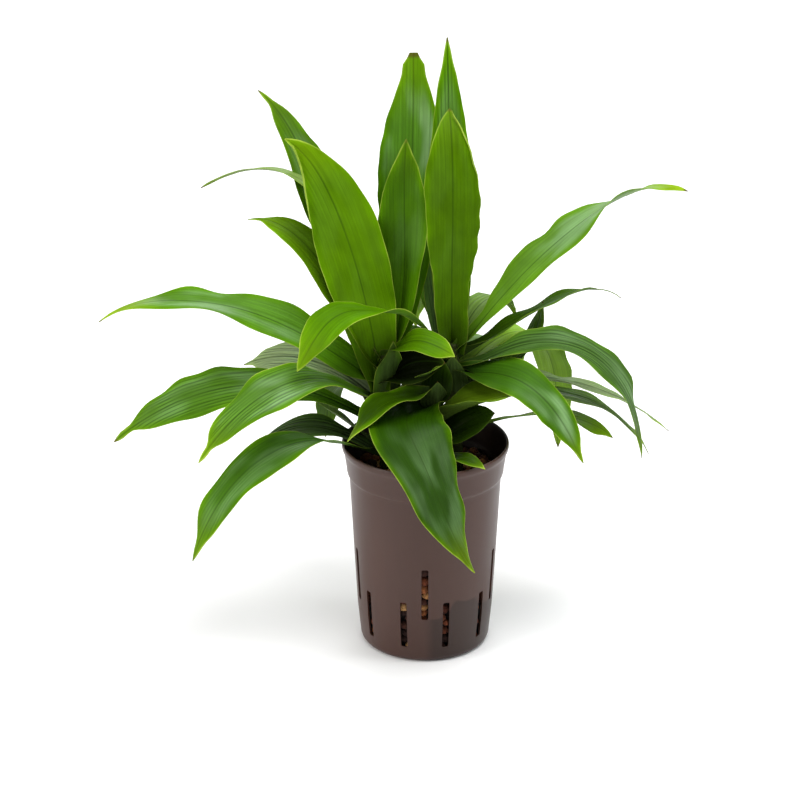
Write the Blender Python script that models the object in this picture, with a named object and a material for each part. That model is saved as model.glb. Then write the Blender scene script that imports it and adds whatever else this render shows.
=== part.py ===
"""A potted dracaena: three leafy canes in a slotted plastic pot filled with clay pebbles.

Sizes are in millimetres here and become metres where a mesh is made. +Z is up and -Y is the front.
Bearings are seen from above: 0 points right, 90 to the rear, 180 left and 270 to the front.
"""
import math
import random
from collections import namedtuple

import bmesh
import bpy
import numpy as np
from mathutils import Euler, Matrix, Vector

MM = 0.001

# The pot
POT_SEGMENTS = 60
# (radius, height) from the centre of the floor, up the outside, over the lip and down the inside
POT_OUTSIDE = ((50.0, 0.0), (54.8, 1.6), (57.2, 6.0), (60.1, 35.0), (67.0, 159.0), (69.2, 163.5),
               (71.9, 182.0), (73.5, 185.5), (73.5, 189.4), (72.9, 190.0))
POT_INSIDE = ((71.0, 190.0), (70.2, 182.0), (67.5, 164.5), (65.5, 159.0), (58.5, 35.0),
              (55.7, 6.5), (52.5, 2.2))
FLOOR_TOP = 2.2

# The slots in its wall and floor
SLOT_WIDTH = 6.0
HIGH_SLOTS = 5
HIGH_SLOT_FOOT = 44.0
HIGH_SLOT_HEAD = 94.0
LOW_SLOTS = 10
LOW_SLOT_FOOT = 15.0
LOW_SLOT_HEAD = 60.0
SLOT_CORNER_STEPS = 4
DRAIN_SLOTS = 10
DRAIN_SLOT_WIDTH = 4.0
DRAIN_SLOT_INNER = 22.0
DRAIN_SLOT_OUTER = 42.0

# The clay pebbles
GAP = 0.4
BED_TOP = 160.0
PEBBLE_SMALL = 5.2
PEBBLE_LARGE = 7.0
PEBBLE_SPACING = 12.4
PEBBLE_RING = 57.5
PEBBLE_SEED = 7

# The canes
SOIL_LINE = 165.0
CANE_FOOT = 75.0
CANE_RADIUS = 6.5
CANE_TIP_RADIUS = 3.6
CANE_SIDES = 14

# The leaves
LEAF_THICKNESS = 0.8
LEAF_STEP = 22.0
SHEATH_REACH = 16.0
SHEATH_HALF_WIDTH = 10.0
SHEATH_FOLD = 50.0

# Half widths along a leaf, as shares of its greatest half width; the first four follow its neck
OUTLINE_AT = (0.0, 0.06, 0.16, 0.30, 0.46, 0.60, 0.74, 0.86, 0.95, 1.0)
OUTLINE_TAIL = (0.96, 1.0, 0.86, 0.56, 0.24, 0.02)
OUTLINE_FULL = 0.58

# Where each cane stands at the top of the soil, how far it leans in 100 mm, and its height
Shoot = namedtuple("Shoot", "x y lean_x lean_y top")
LEFT = Shoot(-34, 2, -2, 2, 104)
RIGHT = Shoot(27, 4, -3, 2, 114)
FRONT = Shoot(6, -14, 2, -4, 76)

# A leaf: the height of its base above the soil, its length and width, then bearing, pitch and roll
# in degrees at even steps from base to tip, the fold along its midrib, the curl of each half, the
# height, number and start of the waves in its edges, how narrow its neck is, and where it is widest
Leaf = namedtuple("Leaf", "label height length width bearing pitch roll fold curl wave waves start "
                          "neck full")

LEFT_LEAVES = (
    Leaf("broad left", 75, 240, 60, (158,), (86, 80, 76, 72, 66, 55, 25), (64,),
         14, -10, 3, 2.5, 0.0, 0.52, 0.56),
    Leaf("dark upright", 94, 210, 47, (46, 66, 110), (62, 78, 90, 97, 104), (0,),
         28, 0, 2, 2.5, 1.0, 0.50, 0.56),
    Leaf("tall blunt", 94, 278, 60, (69, 63, 75, 93), (46, 72, 82, 85, 88), (0,),
         18, -10, 2, 2.5, 2.0, 0.50, 0.58),
    Leaf("pointed upper left", 95, 275, 40, (128, 128, 130), (57, 55, 56, 46, 16), (10,),
         20, -5, 2, 2.5, 0.0, 0.42, 0.50),
    Leaf("high arching left", 90, 292, 36, (126, 136, 147, 154, 156), (69, 71, 47, -5, -38),
         (-10, -26, -22, -14, -34), 18, -10, 2, 2.5, 1.0, 0.45, 0.55),
    Leaf("small arching left", 84, 195, 38, (156, 154, 150), (66, 62, 52, 30, -20), (20, 20, 8),
         20, -5, 2, 2.5, 2.0, 0.45, 0.53),
    Leaf("long left", 76, 268, 40, (180,), (40, 34, 25, 10, -6, -38), (45, 42, 30, 15, 8, 5),
         22, -10, 3, 3, 0.5, 0.42, 0.44),
    Leaf("pleated left", 57, 172, 38, (140,), (30, 12, -3, -18, -32), (20, 30, 30),
         16, -10, 3, 2.5, 1.5, 0.40, 0.58),
    Leaf("low left", 40, 255, 40, (188, 188, 185), (34, 23, -2, -23, -42), (40, 40, 35),
         16, -15, 3, 3, 2.5, 0.26, 0.63),
    Leaf("drooping left", 57, 214, 43, (214,), (44, 29, -5, -31, -50), (0, 10, 20, 15, 10),
         16, -15, 3, 2.5, 0.0, 0.28, 0.57),
    Leaf("lowest left", 9, 240, 40, (214, 214, 213), (34, 20, -14, -47, -70), (-45, -10, 15, 12, 5),
         16, -15, 3, 2.5, 1.0, 0.30, 0.60),
    Leaf("short left", 8, 134, 32, (182,), (42, 28, 4, -28, -44), (15, 10, 5),
         18, -10, 2, 2, 2.0, 0.36, 0.58),
    Leaf("small low left", 16, 108, 20, (160,), (30, 32, 28, 26, 22), (-25,),
         20, -10, 1, 2, 2.0, 0.36, 0.58),
    Leaf("bright hanging left", 50, 122, 32, (135, 132, 128), (34, 14, -40, -76, -88), (0,),
         14, -10, 2, 2, 0.0, 0.40, 0.60),
    Leaf("crooked front", 102, 77, 28, (312, 334, 354), (51, 38, -12, -34), (0, -20, -30, -34),
         16, -10, 2, 2, 0.0, 0.52, 0.62),
    Leaf("rear left upper", 70, 250, 44, (104, 102, 98), (58, 42, 12, -25, -55), (0,),
         18, -10, 3, 2.5, 0.5, 0.40, 0.58),
    Leaf("rear left middle", 60, 232, 42, (84, 82, 80), (56, 34, 0, -38, -62), (0,),
         18, -10, 3, 2.5, 1.5, 0.40, 0.58),
    Leaf("rear left lower", 30, 215, 42, (112,), (46, 24, -8, -42, -66), (0,),
         18, -10, 3, 2.5, 2.5, 0.40, 0.58),
    Leaf("thin crossing", 60, 70, 15, (330,), (44, 44, 42, 36), (0,),
         45, 0, 1, 2, 0.0, 0.60, 0.50),
    Leaf("dark crossing", 80, 60, 43, (336, 340, 350), (58, 42, 10, -6), (-34, -46, -50),
         8, -10, 1, 2, 1.0, 0.64, 0.50),
    Leaf("short base left", 46, 77, 30, (300, 302, 304), (86, 84, 82), (0,),
         24, -10, 1, 2, 0.0, 0.60, 0.46),
)

RIGHT_LEAVES = (
    Leaf("broad right", 106, 222, 49, (104, 101, 94), (88, 88, 92, 93, 88, 66, 30), (0,),
         14, -10, 4, 2, 1.0, 0.56, 0.66),
    Leaf("tall pointed", 98, 281, 41, (96,), (70, 78, 82, 80, 74), (0,),
         24, 0, 2, 2.5, 0.0, 0.50, 0.46),
    Leaf("crossing forward", 88, 198, 36, (186, 203, 210, 208), (69, 60, 18, 9, -46, -60),
         (0, -20, -15, 25, 28), 18, -10, 2, 2.5, 0.0, 0.16, 0.68),
    Leaf("broad drooping right", 87, 152, 37, (334, 332, 329), (18, 2, -30, -53, -62),
         (-20, -30, -35), 14, -15, 2, 2.5, 0.0, 0.46, 0.42),
    Leaf("high arching right", 106, 262, 36, (20,), (52, 45, 36, 20, -25), (-25, -25, -25, 28, -30),
         18, -5, 3, 3, 0.0, 0.30, 0.56),
    Leaf("rising right", 100, 164, 20, (18,), (28, 27, 24, 8, -44), (0, 0, 12, 20),
         30, -5, 2, 3, 0.0, 0.50, 0.48),
    Leaf("hooked right", 86, 236, 37, (0,), (33, 22, -9, -47, -71, -85), (-15, -18, -15),
         24, -10, 3, 3, 0.0, 0.32, 0.54),
    Leaf("low right upper", 70, 222, 28, (22, 20, 18), (11, -6, -20, -32, -46), (0,),
         20, -10, 2, 3, 0.0, 0.40, 0.55),
    Leaf("low right lower", 56, 194, 26, (6,), (16, 6, -16, -38, -66), (0,),
         20, -10, 2, 3, 1.0, 0.40, 0.55),
    Leaf("narrow low right", 26, 156, 30, (20,), (26, 6, -8, -24, -46), (28, 30, 26, -15, -30),
         16, -10, 2, 2, 0.0, 0.48, 0.68),
    Leaf("bright hanging right", 84, 230, 42, (41, 46, 53), (36, 6, -50, -82, -88), (0,),
         14, -10, 2, 2.5, 0.0, 0.40, 0.60),
    Leaf("rising behind right", 78, 112, 30, (22,), (14, 14, 30, 66, 84), (0,),
         22, -10, 2, 2, 0.0, 0.40, 0.58),
    Leaf("small curled right", 104, 124, 28, (62, 58, 52), (56, 32, 2, -32, -66), (0,),
         20, -10, 2, 2, 0.0, 0.42, 0.55),
    Leaf("short upright behind", 88, 108, 28, (120, 112, 105), (70, 68, 66, 66), (0, 10, 20),
         18, -5, 1, 2, 0.0, 0.46, 0.55),
    Leaf("rear right upper", 84, 250, 44, (108, 106, 104), (58, 42, 12, -25, -55), (0,),
         18, -10, 3, 2.5, 0.5, 0.40, 0.58),
    Leaf("rear right middle", 54, 225, 42, (74, 72, 70), (34, 12, -16, -46, -66), (0,),
         18, -10, 3, 2.5, 1.5, 0.40, 0.58),
    Leaf("rear right lower", 52, 200, 40, (124, 118, 112), (50, 28, -4, -40, -62), (0,),
         18, -10, 3, 2.5, 2.5, 0.40, 0.58),
    Leaf("short dark right", 84, 44, 34, (356, 352, 348), (12, 8, 2, -8), (-10,),
         24, -10, 2, 2, 1.0, 0.46, 0.55),
    Leaf("short base right", 48, 58, 31, (252, 254, 258), (88, 88, 87), (0,),
         26, -10, 1, 2, 0.0, 0.60, 0.50),
)

FRONT_LEAVES = (
    Leaf("broad tongue", 58, 199, 72, (216, 272, 317, 324, 344), (36, -10, -56, -61, -54), (0,),
         10, -12, 1.5, 2.5, 0.0, 0.50, 0.45),
    Leaf("short front left", 74.8, 99, 35, (222, 216, 194), (20, 12, -6, -46, -52), (0, -2, -2),
         16, -10, 2, 2, 0.0, 0.46, 0.48),
    Leaf("folded front right", 48, 74, 54, (346,), (44, 34, 26, 21, 17), (0,),
         44, -5, 1, 2, 0.0, 0.46, 0.64),
    Leaf("small over the rim", 10, 76, 24, (306,), (32, 28, 18, 8, -4), (0,),
         20, -5, 1, 2, 0.0, 0.60, 0.50),
    Leaf("low behind", 34, 105, 34, (122, 110, 98), (40, 24, 4, -14, -34), (0,),
         20, -10, 2, 2, 0.0, 0.46, 0.56),
    Leaf("upright behind", 56, 48, 30, (66,), (80, 76, 72, 66), (0,),
         20, -10, 1, 2, 0.0, 0.56, 0.50),
    Leaf("small front right", 26, 66, 40, (340,), (50, 42, 34, 26), (-30, -35, -40),
         20, -5, 1, 2, 0.0, 0.50, 0.52),
    Leaf("short base front", 46, 46, 26, (290,), (87, 84, 80), (0,),
         34, -10, 1, 2, 0.0, 0.60, 0.48),
)


def linear(hex_colour):
    """A screen colour such as 52443f as linear red, green, blue and alpha."""
    parts = [int(hex_colour[i:i + 2], 16) / 255.0 for i in (0, 2, 4)]
    return [v / 12.92 if v <= 0.04045 else ((v + 0.055) / 1.055) ** 2.4 for v in parts] + [1.0]


def make_material(name, hex_colour, roughness):
    """A plain material of one colour."""
    material = bpy.data.materials.new(name)
    material.use_nodes = True
    shader = material.node_tree.nodes["Principled BSDF"]
    shader.inputs["Base Color"].default_value = linear(hex_colour)
    shader.inputs["Roughness"].default_value = roughness
    shader.inputs["Metallic"].default_value = 0.0
    material.diffuse_color = linear(hex_colour)
    return material


def add_object(name, points, faces):
    """A mesh object from points in millimetres, its faces turned to look outwards."""
    mesh = bpy.data.meshes.new(name)
    mesh.from_pydata([[float(v) * MM for v in point] for point in points], [],
                     [[int(i) for i in face] for face in faces])
    shape = bmesh.new()
    shape.from_mesh(mesh)
    bmesh.ops.recalc_face_normals(shape, faces=shape.faces)
    shape.to_mesh(mesh)
    shape.free()
    thing = bpy.data.objects.new(name, mesh)
    bpy.context.scene.collection.objects.link(thing)
    return thing


def combine(body, others, operation, solver="EXACT"):
    """Join other solids to a body, or cut them from it, and remove them."""
    group = bpy.data.collections.new("others")
    bpy.context.scene.collection.children.link(group)
    for other in others:
        bpy.context.scene.collection.objects.unlink(other)
        group.objects.link(other)
        other.hide_render = True
        other.display_type = "WIRE"
    step = body.modifiers.new("combine", "BOOLEAN")
    step.operation = operation
    step.operand_type = "COLLECTION"
    step.collection = group
    step.solver = solver
    view = bpy.context.evaluated_depsgraph_get()
    result = bpy.data.meshes.new_from_object(body.evaluated_get(view))
    body.modifiers.clear()
    body.data = result
    for other in others:
        bpy.data.objects.remove(other)
    bpy.data.collections.remove(group)


def fill_pockets(body):
    """Keep the outer skin alone, which fills the sealed pockets between clasping leaf bases."""
    shape = bmesh.new()
    shape.from_mesh(body.data)
    waiting = set(shape.verts)
    skins = []
    while waiting:
        skin = []
        edge = [waiting.pop()]
        while edge:
            vertex = edge.pop()
            skin.append(vertex)
            for link in vertex.link_edges:
                other = link.other_vert(vertex)
                if other in waiting:
                    waiting.remove(other)
                    edge.append(other)
        skins.append(skin)
    skins.sort(key=len)
    pockets = [vertex for skin in skins[:-1] for vertex in skin]
    bmesh.ops.delete(shape, geom=pockets, context="VERTS")
    shape.to_mesh(body.data)
    shape.free()


def finish(thing, material, sharp_degrees):
    """Give a solid its material and smooth shading between its sharp edges."""
    thing.data.materials.clear()
    thing.data.materials.append(material)
    thing.data.shade_smooth()
    thing.data.set_sharp_from_angle(angle=math.radians(sharp_degrees))


def turned(name, profile, segments):
    """A solid turned about +Z; the profile runs from one point on the axis to another."""
    points = [(0.0, 0.0, profile[0][1])]
    for radius, height in profile[1:-1]:
        for k in range(segments):
            angle = 2 * math.pi * k / segments
            points.append((radius * math.cos(angle), radius * math.sin(angle), height))
    points.append((0.0, 0.0, profile[-1][1]))
    rings = len(profile) - 2
    faces = []
    for k in range(segments):
        after = (k + 1) % segments
        faces.append((0, 1 + after, 1 + k))
        for ring in range(rings - 1):
            low = 1 + ring * segments
            high = low + segments
            faces.append((low + k, low + after, high + after, high + k))
        last = 1 + (rings - 1) * segments
        faces.append((last + k, last + after, len(points) - 1))
    return add_object(name, points, faces)


def rounded_slot(half_width, low, high):
    """Points around an upright slot with rounded ends, as (across, height)."""
    points = []
    for k in range(SLOT_CORNER_STEPS + 1):
        angle = math.pi * k / SLOT_CORNER_STEPS
        points.append((half_width * math.cos(angle), high - half_width + half_width * math.sin(angle)))
    for k in range(SLOT_CORNER_STEPS + 1):
        angle = math.pi + math.pi * k / SLOT_CORNER_STEPS
        points.append((half_width * math.cos(angle), low + half_width + half_width * math.sin(angle)))
    return points


def slot_cutter(outline, near, far, bearing, lying):
    """A prism along a bearing through the wall, or a lying one down through the floor."""
    angle = math.radians(bearing)
    along = Vector((math.cos(angle), math.sin(angle), 0.0))
    across = Vector((-math.sin(angle), math.cos(angle), 0.0))
    upward = Vector((0.0, 0.0, 1.0))
    points = []
    for depth in (near, far):
        for side, reach in outline:
            if lying:
                points.append(across * side + along * reach + upward * depth)
            else:
                points.append(across * side + upward * reach + along * depth)
    count = len(outline)
    faces = [tuple(range(count)), tuple(range(count, 2 * count))]
    for k in range(count):
        after = (k + 1) % count
        faces.append((k, after, count + after, count + k))
    return add_object("cutter", points, faces)


def pot():
    """The moulded pot: tapered wall, stepped band, rolled lip, wall slots and drain slots."""
    profile = ((0.0, 0.0),) + POT_OUTSIDE + POT_INSIDE + ((0.0, FLOOR_TOP),)
    body = turned("pot", profile, POT_SEGMENTS)
    cutters = []
    high = rounded_slot(SLOT_WIDTH / 2, HIGH_SLOT_FOOT, HIGH_SLOT_HEAD)
    for k in range(HIGH_SLOTS):
        cutters.append(slot_cutter(high, 50.0, 72.0, 270.0 + 360.0 * k / HIGH_SLOTS, False))
    low = rounded_slot(SLOT_WIDTH / 2, LOW_SLOT_FOOT, LOW_SLOT_HEAD)
    for k in range(LOW_SLOTS):
        bearing = 270.0 + 360.0 * (k + 0.5) / LOW_SLOTS
        cutters.append(slot_cutter(low, 48.0, 70.0, bearing, False))
    drain = rounded_slot(DRAIN_SLOT_WIDTH / 2, DRAIN_SLOT_INNER, DRAIN_SLOT_OUTER)
    for k in range(DRAIN_SLOTS):
        cutters.append(slot_cutter(drain, -4.0, 6.0, 270.0 + 360.0 * k / DRAIN_SLOTS, True))
    combine(body, cutters, "DIFFERENCE")
    finish(body, make_material("pot_plastic", "52443f", 0.5), 35)
    return body


def wall_radius(height):
    """The pot's inner radius at a height."""
    sides = sorted((z, r) for r, z in POT_INSIDE)
    for (low, inner), (high, outer) in zip(sides, sides[1:]):
        if low <= height <= high:
            return inner + (outer - inner) * (height - low) / (high - low)
    return sides[-1][1]


def stem_point(shoot, height):
    """A point on a cane's centre line, at a height above the soil."""
    return Vector((shoot.x + shoot.lean_x * height / 100.0,
                   shoot.y + shoot.lean_y * height / 100.0,
                   SOIL_LINE + height))


def cane(name, shoot, grow, top):
    """The woody stem as a leaning, many-sided rod, made larger all round by grow."""
    stations = ((CANE_FOOT - SOIL_LINE - grow, CANE_RADIUS + grow),
                (top - 24.0, CANE_RADIUS + grow),
                (top, CANE_TIP_RADIUS + grow))
    points = []
    for height, radius in stations:
        centre = stem_point(shoot, height)
        for k in range(CANE_SIDES):
            angle = 2 * math.pi * k / CANE_SIDES
            points.append(centre + Vector((math.cos(angle), math.sin(angle), 0.0)) * radius)
    faces = [tuple(range(CANE_SIDES)), tuple(range(2 * CANE_SIDES, 3 * CANE_SIDES))]
    for low in (0, CANE_SIDES):
        for k in range(CANE_SIDES):
            after = (k + 1) % CANE_SIDES
            faces.append((low + k, low + after, low + CANE_SIDES + after, low + CANE_SIDES + k))
    return add_object(name, points, faces)


def pebble_spots(rng):
    """Places for the top pebbles, a loose even packing that keeps clear of the canes."""
    spots = []
    rows = int(PEBBLE_RING // (PEBBLE_SPACING * 0.87)) + 1
    for row in range(-rows, rows + 1):
        for column in range(-rows - 1, rows + 2):
            x = (column + 0.5 * (row % 2)) * PEBBLE_SPACING + rng.uniform(-1.6, 1.6)
            y = row * PEBBLE_SPACING * 0.87 + rng.uniform(-1.6, 1.6)
            size = rng.uniform(PEBBLE_SMALL, PEBBLE_LARGE)
            clear = min(math.hypot(x - s.x, y - s.y) for s in (LEFT, RIGHT, FRONT))
            if math.hypot(x, y) < PEBBLE_RING and clear > CANE_RADIUS + size + 2.5:
                spots.append((x, y, size))
    return spots


def clay_pebbles():
    """The pebble filling: a body just inside the pot, pebbles on top, holes for the canes."""
    levels = (FLOOR_TOP, 6.5, 35.0, 159.0)
    sides = [(wall_radius(z) - GAP, z + GAP if z == FLOOR_TOP else z) for z in levels]
    profile = [(0.0, FLOOR_TOP + GAP)] + sides + [(0.0, BED_TOP)]
    bed = turned("clay_pebbles", profile, POT_SEGMENTS)
    rng = random.Random(PEBBLE_SEED)
    pebbles = []
    for x, y, size in pebble_spots(rng):
        shape = bmesh.new()
        bmesh.ops.create_icosphere(shape, subdivisions=1, radius=1.0)
        turn = Euler([rng.uniform(0.0, 6.28) for _ in range(3)]).to_matrix().to_4x4()
        stretch = Matrix.Diagonal((size, size * rng.uniform(0.8, 1.0), size * 0.85, 1.0))
        place = Matrix.Translation((x, y, BED_TOP + rng.uniform(-1.0, 0.8)))
        bmesh.ops.transform(shape, matrix=place @ turn @ stretch, verts=shape.verts)
        points = [vertex.co.copy() for vertex in shape.verts]
        faces = [[vertex.index for vertex in face.verts] for face in shape.faces]
        shape.free()
        pebbles.append(add_object("pebble", points, faces))
    combine(bed, pebbles, "UNION")
    holes = [cane("hole", LEFT, GAP, LEFT.top), cane("hole", RIGHT, GAP, RIGHT.top),
             cane("hole", FRONT, GAP, FRONT.top)]
    combine(bed, holes, "DIFFERENCE")
    finish(bed, make_material("fired_clay", "6b3a24", 0.9), 30)
    return bed


def through(values, share):
    """A smooth curve through evenly spaced values, read at shares from 0 to 1."""
    values = np.asarray(values, float)
    if len(values) == 1:
        return np.full_like(share, values[0])
    last = len(values) - 1
    place = np.clip(share, 0.0, 1.0) * last
    i = np.minimum(place.astype(int), last - 1)
    f = place - i
    ends = ([2 * values[0] - values[1]], values, [2 * values[-1] - values[-2]])
    v = np.concatenate(ends)
    a, b, c, d = v[i], v[i + 1], v[i + 2], v[i + 3]
    return 0.5 * (2 * b + (c - a) * f + (2 * a - 5 * b + 4 * c - d) * f ** 2
                  + (3 * b - a - 3 * c + d) * f ** 3)


def half_width_shares(leaf, share):
    """The leaf's half width along its length, as a share of its greatest half width."""
    share = share ** (math.log(OUTLINE_FULL) / math.log(leaf.full))
    x = np.asarray(OUTLINE_AT)
    base = (leaf.neck + 0.10, leaf.neck, leaf.neck + 0.10, 0.5 + 0.62 * leaf.neck)
    y = np.asarray(base + OUTLINE_TAIL)
    width = np.diff(x)
    slope = np.diff(y) / width
    tangent = np.zeros_like(y)
    for k in range(1, len(y) - 1):
        before, after = slope[k - 1], slope[k]
        tangent[k] = 0.0 if before * after <= 0 else 2 * before * after / (before + after)
    tangent[0], tangent[-1] = slope[0], slope[-1]
    i = np.clip(np.searchsorted(x, share, side="right") - 1, 0, len(x) - 2)
    f = (share - x[i]) / width[i]
    return ((2 * f ** 3 - 3 * f ** 2 + 1) * y[i] + (f ** 3 - 2 * f ** 2 + f) * width[i] * tangent[i]
            + (3 * f ** 2 - 2 * f ** 3) * y[i + 1] + (f ** 3 - f ** 2) * width[i] * tangent[i + 1])


def leaf_surface(shoot, leaf, along, across):
    """The middle surface of a leaf as a grid of points: base to tip, then edge to edge."""
    fine = 240
    share = np.linspace(0.0, 1.0, fine + 1)
    pitch = np.radians(through(leaf.pitch, share))
    bearing = np.radians(through(leaf.bearing, share))
    step = np.stack([np.cos(pitch) * np.cos(bearing), np.cos(pitch) * np.sin(bearing),
                     np.sin(pitch)], axis=-1)
    midrib = np.zeros((fine + 1, 3))
    midrib[1:] = np.cumsum((step[1:] + step[:-1]) / 2, axis=0) * leaf.length / fine
    outward = np.array([math.cos(bearing[0]), math.sin(bearing[0]), 0.0])
    midrib += np.array(stem_point(shoot, leaf.height)) + outward * CANE_RADIUS * 0.8

    pick = np.round(np.linspace(0, fine, along + 1)).astype(int)
    share, bearing, forward, midrib = share[pick], bearing[pick], step[pick], midrib[pick]
    level = np.stack([np.sin(bearing), -np.cos(bearing), np.zeros(len(pick))], axis=-1)
    upright = np.cross(level, forward)
    roll = np.radians(through(leaf.roll, share))[:, None]
    side = level * np.cos(roll) + upright * np.sin(roll)
    up = upright * np.cos(roll) - level * np.sin(roll)

    clasp = np.exp(-(share * leaf.length / SHEATH_REACH) ** 2)
    half = half_width_shares(leaf, share) * leaf.width / 2
    half = half + (np.maximum(half, SHEATH_HALF_WIDTH) - half) * clasp
    fold = math.radians(leaf.fold) * (1.25 - share) + math.radians(SHEATH_FOLD) * clasp
    grid = np.zeros((len(pick), 2 * across + 1, 3))
    slices = 8
    for j in range(-across, across + 1):
        out = abs(j) / across
        steps = (np.arange(slices) + 0.5) / slices * out
        angle = fold[:, None] + math.radians(leaf.curl) * steps[None, :]
        sideways = np.cos(angle).sum(axis=1) / slices * out * half * np.sign(j)
        upwards = np.sin(angle).sum(axis=1) / slices * out * half
        turn = 2 * math.pi * leaf.waves * share + leaf.start + (0.0 if j > 0 else 1.9)
        ripple = leaf.wave * out ** 2 * np.sin(turn)
        ripple = ripple * np.sin(math.pi * np.clip(share, 0.0, 1.0)) ** 0.7
        grid[:, j + across] = midrib + side * sideways[:, None] + up * (upwards + ripple)[:, None]
    return grid


def leaf_solid(shoot, leaf):
    """A leaf as a closed solid: two like faces one thickness apart, joined by its rim."""
    along = int(min(14, max(6, round(leaf.length / LEAF_STEP))))
    grid = leaf_surface(shoot, leaf, along, 1)
    rows, columns = grid.shape[:2]
    normal = np.cross(np.gradient(grid, axis=1), np.gradient(grid, axis=0))
    normal /= np.linalg.norm(normal, axis=-1, keepdims=True)
    upper = (grid + normal * LEAF_THICKNESS / 2).reshape(-1, 3)
    lower = (grid - normal * LEAF_THICKNESS / 2).reshape(-1, 3)
    count = rows * columns
    faces = []
    for i in range(rows - 1):
        for j in range(columns - 1):
            a, b = i * columns + j, i * columns + j + 1
            d, c = a + columns, b + columns
            if j < columns // 2:
                halves = ((a, b, c), (a, c, d))
            else:
                halves = ((a, b, d), (b, c, d))
            for triangle in halves:
                faces.append(triangle)
                faces.append(tuple(count + v for v in reversed(triangle)))
    rim = [i * columns for i in range(rows)]
    rim += [(rows - 1) * columns + j for j in range(1, columns)]
    rim += [i * columns + columns - 1 for i in range(rows - 2, -1, -1)]
    rim += list(range(columns - 2, 0, -1))
    for a, b in zip(rim, rim[1:] + rim[:1]):
        faces.append((a, b, count + b))
        faces.append((a, count + b, count + a))
    return add_object("leaf", np.concatenate([upper, lower]), faces)


def leafy_shoot(name, shoot, leaves, material):
    """One cane with the leaves that grow from it, as one solid."""
    body = cane(name, shoot, 0.0, shoot.top)
    combine(body, [leaf_solid(shoot, leaf) for leaf in leaves], "UNION", "MANIFOLD")
    fill_pockets(body)
    finish(body, material, 50)
    return body


def main():
    for thing in list(bpy.data.objects):
        bpy.data.objects.remove(thing)
    pot()
    clay_pebbles()
    leafy_shoot("shoot_left", LEFT, LEFT_LEAVES, make_material("leaf_left", "3c6b12", 0.45))
    leafy_shoot("shoot_right", RIGHT, RIGHT_LEAVES, make_material("leaf_right", "38650f", 0.45))
    leafy_shoot("shoot_front", FRONT, FRONT_LEAVES, make_material("leaf_front", "2f5a14", 0.45))


main()
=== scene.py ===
"""The looks of the potted dracaena: fine leaves, ringed canes, moulded pot and clay pebbles.

Lengths are in millimetres until a mesh is made, and only the camera, the lamps and the floor are
placed in metres. +Z is up and -Y is the front. Bearings are seen from above: 0 points right, 90
to the rear, 180 left and 270 to the front.
"""
import math
import random
from collections import namedtuple

import bmesh
import bpy
import numpy as np
from mathutils import Matrix, Vector, noise


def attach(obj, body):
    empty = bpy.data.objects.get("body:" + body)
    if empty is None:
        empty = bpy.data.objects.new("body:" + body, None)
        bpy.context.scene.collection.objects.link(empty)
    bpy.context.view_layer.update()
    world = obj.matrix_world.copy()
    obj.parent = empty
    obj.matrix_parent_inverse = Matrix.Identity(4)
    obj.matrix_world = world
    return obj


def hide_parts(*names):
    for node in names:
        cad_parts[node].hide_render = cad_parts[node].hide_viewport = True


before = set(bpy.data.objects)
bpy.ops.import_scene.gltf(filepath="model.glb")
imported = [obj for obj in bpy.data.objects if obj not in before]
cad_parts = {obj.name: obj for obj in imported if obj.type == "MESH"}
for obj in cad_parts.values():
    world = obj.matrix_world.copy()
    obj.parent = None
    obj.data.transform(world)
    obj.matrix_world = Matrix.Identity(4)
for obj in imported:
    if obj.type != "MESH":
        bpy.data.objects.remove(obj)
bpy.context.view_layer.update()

MM = 0.001
FRONT_BEARING = 270.0

# A whole turn in radians, and how far apart two random patterns may lie
FULL_TURN = 6.28
PATTERN_SPAN = 90

# The pot, as in the part: (radius, height) up the outside, over the lip and down the inside
POT_SEGMENTS = 180
POT_SHARP_ANGLE = 32.0
POT_OUTSIDE = ((50.0, 0.0), (53.0, 0.4), (55.0, 1.7), (56.5, 3.8), (57.3, 6.5), (60.1, 35.0),
               (63.6, 98.0), (66.8, 156.5), (67.0, 159.0), (67.6, 160.6), (68.7, 161.8),
               (69.1, 163.4), (69.3, 166.0), (71.0, 177.5), (71.6, 181.0), (72.2, 183.2),
               (73.1, 184.6), (73.5, 186.0), (73.5, 188.4), (73.2, 189.4), (72.6, 190.0))
POT_INSIDE = ((71.9, 190.0), (71.3, 189.5), (71.0, 188.6), (70.2, 182.0), (67.8, 167.0),
              (67.4, 164.0), (65.8, 161.0), (65.5, 158.0), (58.5, 35.0), (55.9, 7.0), (54.6, 4.0),
              (51.5, 2.2))
FLOOR_TOP = 2.2

# Rows of slots: how many, how many steps of the row the first is turned from the front, how wide,
# their two ends (heights in the wall, radii in the floor), and the two ends of the prism that
# cuts each (radii in the wall, heights in the floor)
SlotRow = namedtuple("SlotRow", "count turned width low high near far")
HIGH_SLOTS = SlotRow(5, 0.0, 6.0, 44.0, 94.0, 50.0, 72.0)
LOW_SLOTS = SlotRow(10, 0.5, 6.0, 15.0, 60.0, 48.0, 70.0)
DRAIN_SLOTS = SlotRow(10, 0.0, 4.0, 22.0, 42.0, -4.0, 6.0)
SLOT_CORNER = 1.6
CORNER_STEPS = 4

# The bed of clay pebbles: two layers in staggered rows, each layer so far down and so far aside.
# A pebble is no nearer to a cane than a share of its own radius.
BED_TOP = 160.0
PEBBLE_SEED = 11
PEBBLE_RING = 59.0
PEBBLE_LAYERS = ((0.0, 0.0), (6.0, 4.8))
PEBBLE_SPACING = 9.6
PEBBLE_ROW_SHARE = 0.87
PEBBLE_JITTER = 1.8
PEBBLE_LIFT = (-1.5, 1.0)
PEBBLE_RADIUS = (4.2, 6.6)
PEBBLE_CANE_SHARE = 0.8

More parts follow.
